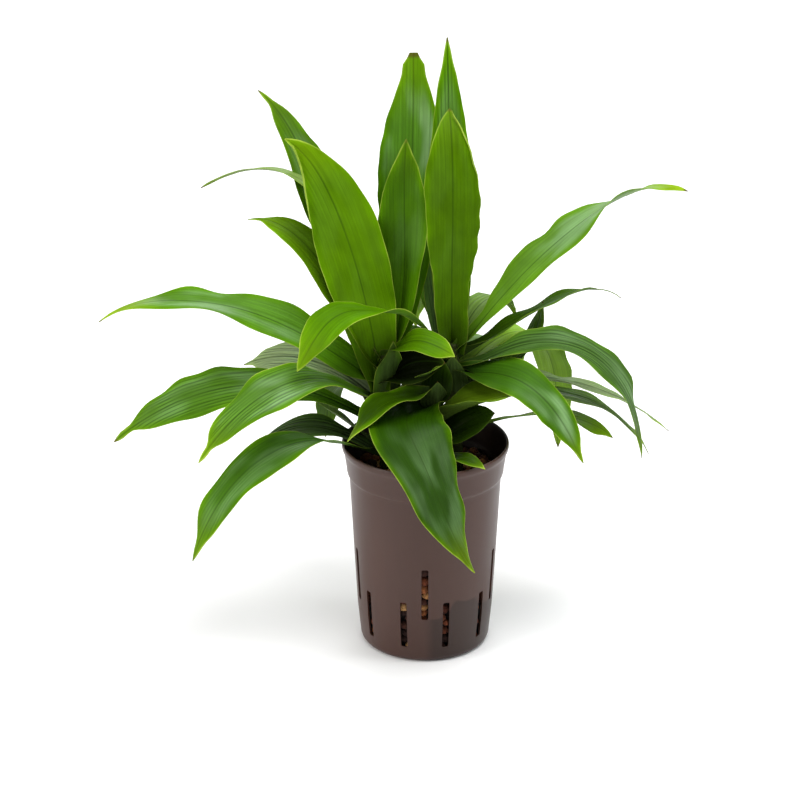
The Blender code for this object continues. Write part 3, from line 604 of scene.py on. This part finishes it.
def damp_patch(tree, place):
    """How damp the pot is: a patch low on the right of its front, with a wandering edge."""
    apart = add_node(tree, "SeparateXYZ", {"Vector": place})
    spread = add_node(tree, "VectorMath",
                      {0: place, 1: [1.0 / (DAMP_WANDER_LENGTH * MM)] * 3}, operation="MULTIPLY")
    wander = add_node(tree, "TexNoise", {"Vector": spread, "Scale": 1.0, "Detail": 1.0})
    height = add_node(tree, "Math", {0: wander, 1: DAMP_WANDER * MM, 2: apart.outputs["Z"]},
                      operation="MULTIPLY_ADD")
    low = add_node(tree, "MapRange",
                   {0: height, 1: DAMP_TOP[0] * MM, 2: DAMP_TOP[1] * MM, 3: 1.0, 4: 0.0},
                   interpolation_type="SMOOTHSTEP")
    right = add_node(tree, "MapRange",
                     {0: apart.outputs["X"], 1: DAMP_SIDE[0] * MM, 2: DAMP_SIDE[1] * MM,
                      3: 0.0, 4: 1.0},
                     interpolation_type="SMOOTHSTEP")
    damp = low
    for factor in (right, DAMP_STRENGTH):
        damp = add_node(tree, "Math", {0: damp, 1: factor}, operation="MULTIPLY")
    return damp


def inside_painted_shade(tree, place):
    """Painted shade inside the pot: dark wherever its wall faces inwards, above the pebbles."""
    facing = add_node(tree, "TexCoord").outputs["Normal"]
    level = add_node(tree, "VectorMath", {0: place, 1: (1.0, 1.0, 0.0)}, operation="MULTIPLY")
    outward = add_node(tree, "VectorMath", {0: facing, 1: level}, operation="DOT_PRODUCT")
    return add_node(tree, "MapRange",
                    {0: outward.outputs["Value"], 1: -0.04, 2: -0.01, 3: 0.85, 4: 0.0})


def moulded_plastic():
    """Injection moulded polypropylene, warm grey brown: a soft satin with faint flow marks."""
    material, tree = new_material("moulded_plastic")
    place = add_node(tree, "TexCoord").outputs["Object"]
    around = 1.0 / (FLOW_WIDTH * MM)
    spread = add_node(tree, "VectorMath", {0: place, 1: (around, around, 1.0 / (FLOW_HEIGHT * MM))},
                      operation="MULTIPLY")
    flow = add_node(tree, "TexNoise", {"Vector": spread, "Scale": 1.0, "Detail": 3.0})
    colour = add_node(tree, "Mix", {0: flow, 6: linear("39241d"), 7: linear("452d25")},
                      data_type="RGBA")
    # A damp stain low on the front, and painted shade on the inside of the wall
    for share, paint in ((damp_patch(tree, place), "26160f"),
                         (inside_painted_shade(tree, place), "0d0604")):
        colour = add_node(tree, "Mix", {0: share, 6: colour.outputs[2], 7: linear(paint)},
                          data_type="RGBA")
    grit = add_node(tree, "TexNoise",
                    {"Vector": place, "Scale": 1.0 / (POT_GRIT * MM), "Detail": 2.0})
    relief = add_node(tree, "Bump", {"Strength": 0.12, "Distance": 0.2 * MM, "Height": grit})
    gloss = add_node(tree, "MapRange", {0: flow, 1: 0.3, 2: 0.7, 3: 0.34, 4: 0.46})
    skin = add_node(tree, "BsdfPrincipled",
                    {"Base Color": colour.outputs[2], "Roughness": gloss, "IOR": 1.49,
                     "Specular IOR Level": 0.32, "Normal": relief})
    add_node(tree, "OutputMaterial", {"Surface": skin})
    return material


def fired_clay():
    """Expanded clay, fired in a kiln: dull, pitted, tan to red brown, each pebble its own shade."""
    material, tree = new_material("fired_clay")
    place = add_node(tree, "TexCoord").outputs["Object"]
    tone = add_node(tree, "Attribute", attribute_name="tone")
    mottle = add_node(tree, "TexNoise",
                      {"Vector": place, "Scale": 1.0 / (CLAY_GRIT * MM), "Detail": 4.0,
                       "Roughness": 0.65})
    shade = add_node(tree, "MapRange", {0: mottle, 1: 0.3, 2: 0.7, 3: 0.55, 4: 1.3})
    colour = add_node(tree, "VectorMath", {0: tone.outputs["Color"], "Scale": shade},
                      operation="SCALE")
    relief = add_node(tree, "Bump", {"Strength": 0.8, "Distance": 0.6 * MM, "Height": mottle})
    skin = add_node(tree, "BsdfPrincipled",
                    {"Base Color": colour, "Roughness": 0.95, "Normal": relief})
    add_node(tree, "OutputMaterial", {"Surface": skin})
    return material


def studio_paper():
    """Uncoated white background paper: quite matt, so it only takes soft shadows."""
    material, tree = new_material("studio_paper")
    skin = add_node(tree, "BsdfPrincipled", {"Base Color": linear("f2f2f2"), "Roughness": 0.9})
    add_node(tree, "OutputMaterial", {"Surface": skin})
    return material


def add_piece(name, points, faces, material, node, sharp_angle=180.0):
    """A mesh piece from points in millimetres that stands for a node of the part."""
    mesh = bpy.data.meshes.new(name)
    mesh.from_pydata((np.asarray(points, float) * MM).tolist(), [], faces)
    mesh.materials.append(material)
    mesh.shade_smooth()
    if sharp_angle < 180.0:
        mesh.set_sharp_from_angle(angle=math.radians(sharp_angle))
    piece = bpy.data.objects.new(name, mesh)
    bpy.context.scene.collection.objects.link(piece)
    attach(piece, "root")
    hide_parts(node)
    return piece


def shifted(faces, start):
    """Faces whose corners are counted on from start."""
    return [[corner + start for corner in face] for face in faces]


def through(values, share):
    """A smooth curve through evenly spaced values, read at shares from 0 to 1."""
    values = np.asarray(values, float)
    if len(values) == 1:
        return np.full_like(share, values[0])
    last = len(values) - 1
    place = np.clip(share, 0.0, 1.0) * last
    i = np.minimum(place.astype(int), last - 1)
    f = place - i
    ends = ([2 * values[0] - values[1]], values, [2 * values[-1] - values[-2]])
    v = np.concatenate(ends)
    a, b, c, d = v[i], v[i + 1], v[i + 2], v[i + 3]
    return 0.5 * (2 * b + (c - a) * f + (2 * a - 5 * b + 4 * c - d) * f ** 2
                  + (3 * b - a - 3 * c + d) * f ** 3)


def half_width_shares(leaf, share):
    """The leaf's half width along its length, as a share of its greatest half width."""
    share = share ** (math.log(OUTLINE_FULL) / math.log(leaf.full))
    x = np.asarray(OUTLINE_AT)
    flare = leaf.neck + NECK_FLARE
    base = (flare, leaf.neck, flare, SHOULDER_START + SHOULDER_NECK_SHARE * leaf.neck)
    y = np.asarray(base + OUTLINE_TAIL)
    width = np.diff(x)
    slope = np.diff(y) / width
    tangent = np.zeros_like(y)
    for k in range(1, len(y) - 1):
        before, after = slope[k - 1], slope[k]
        tangent[k] = 0.0 if before * after <= 0 else 2 * before * after / (before + after)
    tangent[0], tangent[-1] = slope[0], slope[-1]
    i = np.clip(np.searchsorted(x, share, side="right") - 1, 0, len(x) - 2)
    f = (share - x[i]) / width[i]
    return ((2 * f ** 3 - 3 * f ** 2 + 1) * y[i] + (f ** 3 - 2 * f ** 2 + f) * width[i] * tangent[i]
            + (3 * f ** 2 - 2 * f ** 3) * y[i + 1] + (f ** 3 - f ** 2) * width[i] * tangent[i + 1])


def half_widths(leaf, look, share, clasp):
    """The leaf's half width in millimetres, with its drawn or blunt tip and its clasping base."""
    half = half_width_shares(leaf, share) * leaf.width / 2
    tip, over = DRAWN_TIP if look.drawn > 0 else BLUNT_TIP
    half = half * (1.0 - look.drawn * np.exp(-((share - tip) / over) ** 2))
    if look.drawn <= 0:
        half = np.maximum(half, -BLUNT_HALF_WIDTH * look.drawn)
    return half + (np.maximum(half, SHEATH_HALF_WIDTH) - half) * clasp


def stem_point(shoot, height):
    """A point on a cane's centre line, at a height above the soil."""
    return np.array([shoot.x + shoot.lean_x * height / LEAN_HEIGHT,
                     shoot.y + shoot.lean_y * height / LEAN_HEIGHT,
                     SOIL_LINE + height])


def midrib_points(shoot, leaf, along):
    """Shares of a leaf's length, with its bearing, its direction and its midrib at each."""
    share = np.linspace(0.0, 1.0, MIDRIB_STEPS + 1)
    pitch = np.radians(through(leaf.pitch, share))
    bearing = np.radians(through(leaf.bearing, share))
    step = np.stack([np.cos(pitch) * np.cos(bearing), np.cos(pitch) * np.sin(bearing),
                     np.sin(pitch)], axis=-1)
    midrib = np.zeros((MIDRIB_STEPS + 1, 3))
    midrib[1:] = np.cumsum((step[1:] + step[:-1]) / 2, axis=0) * leaf.length / MIDRIB_STEPS
    outward = np.array([math.cos(bearing[0]), math.sin(bearing[0]), 0.0])
    midrib += stem_point(shoot, leaf.height) + outward * CANE_RADIUS * CLASP_SHARE
    pick = np.round(np.linspace(0, MIDRIB_STEPS, along + 1)).astype(int)
    return share[pick], bearing[pick], step[pick], midrib[pick]


def wandering(rng, length):
    """A gentle, seeded wander along a length, within about one either way."""
    waves = [(rng.uniform(*WANDER_LENGTH), rng.uniform(0.0, FULL_TURN))
             for count in range(WANDER_WAVES)]
    return sum(np.sin(2 * math.pi * length / wave + start) for wave, start in waves) / 2.0


def rolled_strength(share):
    """An edge is rolled over only in the last part of the leaf, and flat again at the tip."""
    return (np.clip((share - ROLLED_FROM) / ROLLED_BUILD, 0.0, 1.0)
            * np.clip((1.0 - share) / ROLLED_END, 0.0, 1.0))


def rolled_edge(inset, share, width):
    """How far a point near the edge moves inward and up where the edge is rolled over."""
    length = np.clip(width - inset, 0.0, None)
    angle = math.radians(ROLLED_TURN) * rolled_strength(share) * length / width
    inward = length * (1.0 - np.sinc(angle / math.pi))
    lift = length * angle / 2 * np.sinc(angle / 2 / math.pi) ** 2
    return inward, lift


def leaf_surface(shoot, leaf, look, along, across):
    """The middle surface of a leaf as a grid of points, with its shares and half widths."""
    share, bearing, forward, midrib = midrib_points(shoot, leaf, along)
    level = np.stack([np.sin(bearing), -np.cos(bearing), np.zeros(len(share))], axis=-1)
    upright = np.cross(level, forward)
    roll = np.radians(through(leaf.roll, share))[:, None]
    side = level * np.cos(roll) + upright * np.sin(roll)
    up = upright * np.cos(roll) - level * np.sin(roll)

    clasp = np.exp(-(share * leaf.length / SHEATH_REACH) ** 2)
    half = half_widths(leaf, look, share, clasp)
    fold = math.radians(leaf.fold) * (FOLD_AT_BASE - share) + math.radians(SHEATH_FOLD) * clasp
    rng = random.Random(leaf.label)
    wander = [wandering(rng, share * leaf.length) for edge in ("left", "right")]
    fade = (np.clip(share / WANDER_FADE, 0.0, 1.0)
            * np.clip((1.0 - share) / WANDER_FADE, 0.0, 1.0))
    grid = np.zeros((len(share), 2 * across + 1, 3))
    for j in range(-across, across + 1):
        out = abs(j) / across
        steps = (np.arange(FOLD_SLICES) + 0.5) / FOLD_SLICES * out
        angle = fold[:, None] + math.radians(leaf.curl) * steps[None, :]
        reach = half + look.ragged * out ** 3 * wander[j > 0] * fade
        sideways = np.cos(angle).sum(axis=1) / FOLD_SLICES * out * reach * np.sign(j)
        upwards = np.sin(angle).sum(axis=1) / FOLD_SLICES * out * half
        turn = 2 * math.pi * leaf.waves * share + leaf.start + (0.0 if j > 0 else WAVE_LEAD)
        ripple = leaf.wave * out ** 2 * np.sin(turn)
        ripple = ripple * np.sin(math.pi * np.clip(share, 0.0, 1.0)) ** WAVE_SWELL
        pleat = look.pleat * math.cos(2 * math.pi * look.pleats * out) * (1.0 - out)
        pleat = (pleat * np.sin(math.pi * share ** PLEAT_SWELL)
                 * np.minimum(half / PLEATED_HALF_WIDTH, 1.0))
        buckle = BUCKLE_SHARE * look.ragged * wander[j > 0] * fade * out
        height = upwards + ripple + pleat + buckle
        grid[:, j + across] = midrib + side * sideways[:, None] + up * height[:, None]
        if j * look.rolled > 0:
            inward, lift = rolled_edge(half * (1.0 - out), share, abs(look.rolled))
            inward = -inward * np.sign(j)
            grid[:, j + across] += side * inward[:, None] + up * lift[:, None]
    return grid, share, half


def sheet_faces(rows, columns):
    """The faces of a thin body around a grid: its upper side, its lower side and its rim."""
    count = rows * columns
    i, j = np.meshgrid(np.arange(rows - 1), np.arange(columns - 1), indexing="ij")
    first = (i * columns + j).ravel()
    upper = np.stack([first, first + 1, first + columns + 1, first + columns], axis=-1)
    lower = upper[:, ::-1] + count
    rim = [k * columns for k in range(rows)]
    rim += [(rows - 1) * columns + k for k in range(1, columns)]
    rim += [k * columns + columns - 1 for k in range(rows - 2, -1, -1)]
    rim += list(range(columns - 2, 0, -1))
    rim = np.array(rim)
    after = np.roll(rim, -1)
    return upper, lower, np.stack([rim, after, after + count, rim + count], axis=-1)


def carried_values(leaf, look, number, share, half, signed):
    """What each point of a leaf tells the material, first on its upper side and then its lower."""
    count = len(share) * len(signed)
    along = np.repeat(share * leaf.length, len(signed))
    across = (half[:, None] * signed[None, :]).ravel()
    edge = half[:, None] * (1.0 - np.abs(signed))[None, :]
    if look.rolled:
        pale = ROLLED_PALE * rolled_strength(share)[:, None]
        paler = np.maximum(edge * (1.0 - pale), edge - abs(look.rolled) * pale)
        edge = np.where((signed * look.rolled > 0)[None, :], paler, edge)
    edge = edge.ravel()
    blade = np.stack([along, across, np.full(count, float(number))], axis=-1)
    detail = [np.stack([edge, np.full(count, under), along / leaf.length], axis=-1)
              for under in (0.0, 1.0)]
    tone = linear(look.green)[:3] + [look.bloom]
    return {"blade": np.concatenate([blade, blade]),
            "detail": np.concatenate(detail),
            "manner": np.tile((look.tip, look.margin, look.ribs), (2 * count, 1)),
            "tone": np.tile(tone, (2 * count, 1))}


def leaf_mesh(shoot, leaf, number):
    """One leaf as a closed, thin body: points, faces, its map, the map's strips and its values."""
    look = LOOKS.get(leaf.label, Look())
    along = int(max(LEAF_ROWS_MIN, round(leaf.length / LEAF_STEP)))
    grid, share, half = leaf_surface(shoot, leaf, look, along, LEAF_HALF_COLUMNS)
    rows, columns = grid.shape[:2]
    signed = np.linspace(-1.0, 1.0, columns)
    normal = np.cross(np.gradient(grid, axis=1), np.gradient(grid, axis=0))
    normal /= np.linalg.norm(normal, axis=-1, keepdims=True)
    thickness = LEAF_THICKNESS + (EDGE_THICKNESS - LEAF_THICKNESS) * np.abs(signed) ** 2
    offset = normal * thickness[None, :, None] / 2
    points = np.concatenate([(grid + offset).reshape(-1, 3), (grid - offset).reshape(-1, 3)])
    upper, lower, rim = sheet_faces(rows, columns)
    faces = np.concatenate([upper, lower, rim])

    # The map lays both sides out flat as strips, with the rim as a narrow border
    flat = np.stack([np.repeat(share, columns), np.tile((signed + 1.0) / 2.0, rows)], axis=-1)
    uv = np.concatenate([flat, flat])[faces]
    border = uv[len(upper) + len(lower):]
    border[:, 2:] += np.where(border[:, :2] > 0.5, STRIP_BORDER, -STRIP_BORDER)[:, ::-1]
    strip = np.repeat((0, 1, 0), (len(upper), len(lower), len(rim)))
    return points, faces, uv, strip, carried_values(leaf, look, number, share, half, signed)


def foliage(name, shoot, leaves, material, node):
    """Several leaves of one shoot as one piece."""
    points, faces, maps, strips, values = [], [], [], [], []
    start = 0
    for number, leaf in enumerate(leaves):
        leaf_points, leaf_faces, uv, strip, carried = leaf_mesh(shoot, leaf, number)
        points.append(leaf_points)
        faces.append(leaf_faces + start)
        maps.append(uv)
        strips.append(strip + 2 * number)
        values.append(carried)
        start += len(leaf_points)
    piece = add_piece(name, np.concatenate(points), np.concatenate(faces).tolist(), material, node,
                      LEAF_SHARP_ANGLE)
    mesh = piece.data
    for label in LEAF_ATTRIBUTES:
        layer = mesh.attributes.new(label, "FLOAT_VECTOR", "POINT")
        layer.data.foreach_set("vector", np.concatenate([each[label] for each in values]).ravel())
    tone = mesh.color_attributes.new("tone", "FLOAT_COLOR", "POINT")
    tone.data.foreach_set("color", np.concatenate([each["tone"] for each in values]).ravel())

    # Two columns of strips fill the map
    strip = np.repeat(np.concatenate(strips), 4)
    flat = np.concatenate(maps).reshape(-1, 2)
    u = (strip % 2) * 0.5 + STRIP_START[0] + flat[:, 0] * STRIP_FILL[0]
    v = (strip // 2 + STRIP_START[1] + flat[:, 1] * STRIP_FILL[1]) / len(leaves)
    layer = mesh.uv_layers.new(name="OFBake")
    layer.data.foreach_set("uv", np.stack([u, v], axis=-1).astype(np.float32).ravel())
    return piece


def cane(name, shoot, material, node):
    """The ringed stem, from the pebbles up to the newest leaves."""
    heights = np.arange(CANE_FOOT, shoot.top + CANE_STEP / 10, CANE_STEP)
    points = []
    for height in heights:
        beat = (height / RING_SPACING) % 1.0
        radius = CANE_RADIUS - RING_DEPTH * beat
        left = shoot.top - height
        if left < CANE_TAPER:
            radius *= CANE_TIP_SHARE + (1.0 - CANE_TIP_SHARE) * left / CANE_TAPER
        centre = stem_point(shoot, height)
        for k in range(CANE_SIDES):
            angle = 2 * math.pi * k / CANE_SIDES
            points.append(centre + radius * np.array([math.cos(angle), math.sin(angle), 0.0]))
    last = (len(heights) - 1) * CANE_SIDES
    faces = [list(range(CANE_SIDES))[::-1], [last + k for k in range(CANE_SIDES)]]
    for low in range(0, last, CANE_SIDES):
        for k in range(CANE_SIDES):
            after = (k + 1) % CANE_SIDES
            faces.append([low + k, low + after, low + CANE_SIDES + after, low + CANE_SIDES + k])
    return add_piece(name, points, faces, material, node)


def turned(profile, segments):
    """Points and faces of a body turned about +Z; the profile starts and ends on the axis."""
    points = [(0.0, 0.0, profile[0][1])]
    for radius, height in profile[1:-1]:
        for k in range(segments):
            angle = 2 * math.pi * k / segments
            points.append((radius * math.cos(angle), radius * math.sin(angle), height))
    points.append((0.0, 0.0, profile[-1][1]))
    rings = len(profile) - 2
    faces = []
    for k in range(segments):
        after = (k + 1) % segments
        faces.append([0, 1 + after, 1 + k])
        for ring in range(rings - 1):
            low = 1 + ring * segments
            high = low + segments
            faces.append([low + k, low + after, high + after, high + k])
        last = 1 + (rings - 1) * segments
        faces.append([last + k, last + after, len(points) - 1])
    return points, faces


def slot_bearings(row):
    """The bearings of a row's slots, evenly spaced around the pot."""
    return [FRONT_BEARING + 360.0 * (k + row.turned) / row.count for k in range(row.count)]


def slot_outline(row):
    """Points around a slot with rounded corners, as (across, height or radius)."""
    wide = row.width / 2 - SLOT_CORNER
    high = row.high - SLOT_CORNER
    low = row.low + SLOT_CORNER
    points = []
    for x, z, first in ((wide, high, 0.0), (-wide, high, 90.0), (-wide, low, 180.0),
                        (wide, low, 270.0)):
        for k in range(CORNER_STEPS + 1):
            angle = math.radians(first + 90.0 * k / CORNER_STEPS)
            points.append((x + SLOT_CORNER * math.cos(angle), z + SLOT_CORNER * math.sin(angle)))
    return points


def slot_prism(row, bearing, lying):
    """Points and faces of a prism through the wall along a bearing, or down through the floor."""
    angle = math.radians(bearing)
    along = Vector((math.cos(angle), math.sin(angle), 0.0))
    across = Vector((-math.sin(angle), math.cos(angle), 0.0))
    upward = Vector((0.0, 0.0, 1.0))
    outline = slot_outline(row)
    points = []
    for depth in (row.near, row.far):
        for side, reach in outline:
            if lying:
                points.append(across * side + along * reach + upward * depth)
            else:
                points.append(across * side + upward * reach + along * depth)
    count = len(outline)
    faces = [list(range(count))[::-1], list(range(count, 2 * count))]
    for k in range(count):
        after = (k + 1) % count
        faces.append([k, after, count + after, count + k])
    return points, faces


def slot_cutter():
    """One object of all the prisms that cut the slots, each facing outwards."""
    points, faces = [], []
    for row, lying in ((HIGH_SLOTS, False), (LOW_SLOTS, False), (DRAIN_SLOTS, True)):
        for bearing in slot_bearings(row):
            prism, sides = slot_prism(row, bearing, lying)
            faces += shifted(sides, len(points))
            points += [list(point * MM) for point in prism]
    mesh = bpy.data.meshes.new("slots")
    mesh.from_pydata(points, [], faces)
    shape = bmesh.new()
    shape.from_mesh(mesh)
    bmesh.ops.recalc_face_normals(shape, faces=shape.faces)
    shape.to_mesh(mesh)
    shape.free()
    cutter = bpy.data.objects.new("slots", mesh)
    bpy.context.scene.collection.objects.link(cutter)
    return cutter


def pot(material):
    """The moulded pot with its wall slots and drain slots."""
    profile = ((0.0, 0.0),) + POT_OUTSIDE + POT_INSIDE + ((0.0, FLOOR_TOP),)
    points, faces = turned(profile, POT_SEGMENTS)
    piece = add_piece("culture_pot", points, faces, material, "pot")
    cutter = slot_cutter()
    cut = piece.modifiers.new("slots", "BOOLEAN")
    cut.operation = "DIFFERENCE"
    cut.object = cutter
    cut.solver = "EXACT"
    view = bpy.context.evaluated_depsgraph_get()
    result = bpy.data.meshes.new_from_object(piece.evaluated_get(view))
    piece.modifiers.clear()
    piece.data = result
    bpy.data.objects.remove(cutter)
    result.shade_smooth()
    result.set_sharp_from_angle(angle=math.radians(POT_SHARP_ANGLE))
    return piece


def wall_radius(height):
    """The pot's inner radius at a height."""
    sides = sorted((z, r) for r, z in POT_INSIDE)
    for (low, inner), (high, outer) in zip(sides, sides[1:]):
        if low <= height <= high:
            return inner + (outer - inner) * (height - low) / (high - low)
    return sides[-1][1]


def bed_pebbles(rng):
    """Places and radii of the pebbles at the top of the bed, clear of the wall and the canes."""
    places = []
    rows = int(PEBBLE_RING // (PEBBLE_SPACING * PEBBLE_ROW_SHARE)) + 1
    for drop, shift in PEBBLE_LAYERS:
        for row in range(-rows, rows + 1):
            for column in range(-rows - 1, rows + 2):
                x = (column + 0.5 * (row % 2)) * PEBBLE_SPACING + shift
                y = row * PEBBLE_SPACING * PEBBLE_ROW_SHARE + shift
                x += rng.uniform(-PEBBLE_JITTER, PEBBLE_JITTER)
                y += rng.uniform(-PEBBLE_JITTER, PEBBLE_JITTER)
                size = rng.uniform(*PEBBLE_RADIUS)
                clear = min(math.hypot(x - s.x, y - s.y) for s in (LEFT, RIGHT, FRONT))
                inside = math.hypot(x, y) + size < wall_radius(BED_TOP)
                if inside and clear > CANE_RADIUS + size * PEBBLE_CANE_SHARE:
                    places.append((x, y, BED_TOP - drop + rng.uniform(*PEBBLE_LIFT), size))
    return places


def stacked_pebbles(rng):
    """Places and radii of the pebbles that show through the slots of the wall."""
    places = []
    for row in (HIGH_SLOTS, LOW_SLOTS):
        for bearing in slot_bearings(row):
            height = row.low - STACK_BELOW
            while height < row.high + STACK_ABOVE:
                size = rng.uniform(*STACK_RADIUS)
                angle = math.radians(bearing + rng.uniform(-STACK_SWING, STACK_SWING))
                reach = wall_radius(height) - size * LUMPY_SHARE - rng.uniform(*STACK_GAP)
                places.append((reach * math.cos(angle), reach * math.sin(angle), height, size))
                height += size * rng.uniform(*STACK_STEP_SHARE)
    return places


def lumpy(point, seed):
    """How far out a point of a ball lies, as a share of its radius, for a lumpy pebble."""
    lump = 1.0
    for closeness, height in PEBBLE_LUMPS:
        lump += height * noise.noise(point * closeness + seed)
    return lump


def clay_pebbles(material):
    """Each pebble a lumpy ball of its own tone, around a core painted near black as shade."""
    rng = random.Random(PEBBLE_SEED)
    ball = bmesh.new()
    bmesh.ops.create_icosphere(ball, subdivisions=3, radius=1.0)
    unit = [vertex.co.copy() for vertex in ball.verts]
    unit_faces = [[vertex.index for vertex in face.verts] for face in ball.faces]
    ball.free()
    points, faces, tones = [], [], []
    for x, y, z, size in bed_pebbles(rng) + stacked_pebbles(rng):
        seed = Vector([rng.uniform(0, PATTERN_SPAN) for axis in range(3)])
        stretch = Vector((1.0, rng.uniform(*PEBBLE_BREADTH), rng.uniform(*PEBBLE_HEIGHT)))
        turn = Matrix.Rotation(rng.uniform(0.0, FULL_TURN), 3, "Z")
        tone = linear(rng.choice(PEBBLE_SHADES))
        faces += shifted(unit_faces, len(points))
        for corner in unit:
            spot = turn @ (corner * stretch) * size * lumpy(corner, seed)
            points.append((x + spot.x, y + spot.y, z + spot.z))
            tones.append(tone)
    sides = [(wall_radius(z) - CORE_INSET, z) for z in CORE_LEVELS]
    profile = [(0.0, CORE_LEVELS[0])] + sides + [(0.0, CORE_TOP)]
    core, core_faces = turned(profile, CORE_SEGMENTS)
    faces += shifted(core_faces, len(points))
    points += core
    tones += [linear(CORE_PAINTED_SHADE)] * len(core)
    piece = add_piece("clay_pebble_filling", points, faces, material, "clay_pebbles")
    layer = piece.data.color_attributes.new("tone", "FLOAT_COLOR", "POINT")
    layer.data.foreach_set("color", np.array(tones, float).ravel())
    return piece


def look_at(thing, target):
    """Turn a camera or lamp to face a point."""
    thing.rotation_euler = (Vector(target) - thing.location).to_track_quat("-Z", "Y").to_euler()


def camera():
    """The camera, where the photograph was taken from."""
    lens = bpy.data.cameras.new("camera")
    lens.sensor_width = CAMERA_SENSOR
    lens.lens = CAMERA_LENS
    lens.clip_end = CAMERA_REACH
    view = bpy.data.objects.new("camera", lens)
    view.location = CAMERA_PLACE
    look_at(view, CAMERA_TARGET)
    bpy.context.scene.collection.objects.link(view)
    bpy.context.scene.camera = view


def softbox(name, place, target, size, watts, colour):
    """A large soft lamp."""
    lamp = bpy.data.lights.new(name, "AREA")
    lamp.shape = "RECTANGLE"
    lamp.size, lamp.size_y = size
    lamp.energy = watts
    lamp.color = linear(colour)[:3]
    thing = bpy.data.objects.new(name, lamp)
    thing.location = place
    look_at(thing, target)
    bpy.context.scene.collection.objects.link(thing)


def studio():
    """A pale paper floor, soft lamps and an even white surround."""
    mesh = bpy.data.meshes.new("floor")
    signs = ((-1, -1), (1, -1), (1, 1), (-1, 1))
    corners = [(x * FLOOR_HALF, y * FLOOR_HALF, 0.0) for x, y in signs]
    mesh.from_pydata(corners, [], [(0, 1, 2, 3)])
    mesh.materials.append(studio_paper())
    floor = bpy.data.objects.new("floor", mesh)
    bpy.context.scene.collection.objects.link(floor)
    for lamp in LAMPS:
        softbox(*lamp)
    world = bpy.data.worlds.new("surround")
    world.use_nodes = True
    background = world.node_tree.nodes["Background"]
    background.inputs["Color"].default_value = SURROUND_COLOUR
    background.inputs["Strength"].default_value = SURROUND_STRENGTH
    bpy.context.scene.world = world
    bpy.context.scene.view_settings.view_transform = "Standard"


def main():
    """Dress each node of the part, and set up the camera and the studio."""
    leaf = living_leaf()
    bark = woody_cane()
    for side, shoot, leaves in (("left", LEFT, LEFT_LEAVES), ("right", RIGHT, RIGHT_LEAVES),
                                ("front", FRONT, FRONT_LEAVES)):
        node, slot = "shoot_" + side, "leaf_" + side
        upper = [row for row in leaves if row.height >= UPPER_LEAF]
        lower = [row for row in leaves if row.height < UPPER_LEAF]
        if side == "right":
            lower.append(INNER_LEAF)
        foliage("upper_leaves_" + side, shoot, upper, leaf, node)
        foliage("lower_leaves_" + side, shoot, lower, leaf, node)
        cane("cane_" + side, shoot, bark, node)
    pot(moulded_plastic())
    clay_pebbles(fired_clay())
    camera()
    studio()


main()
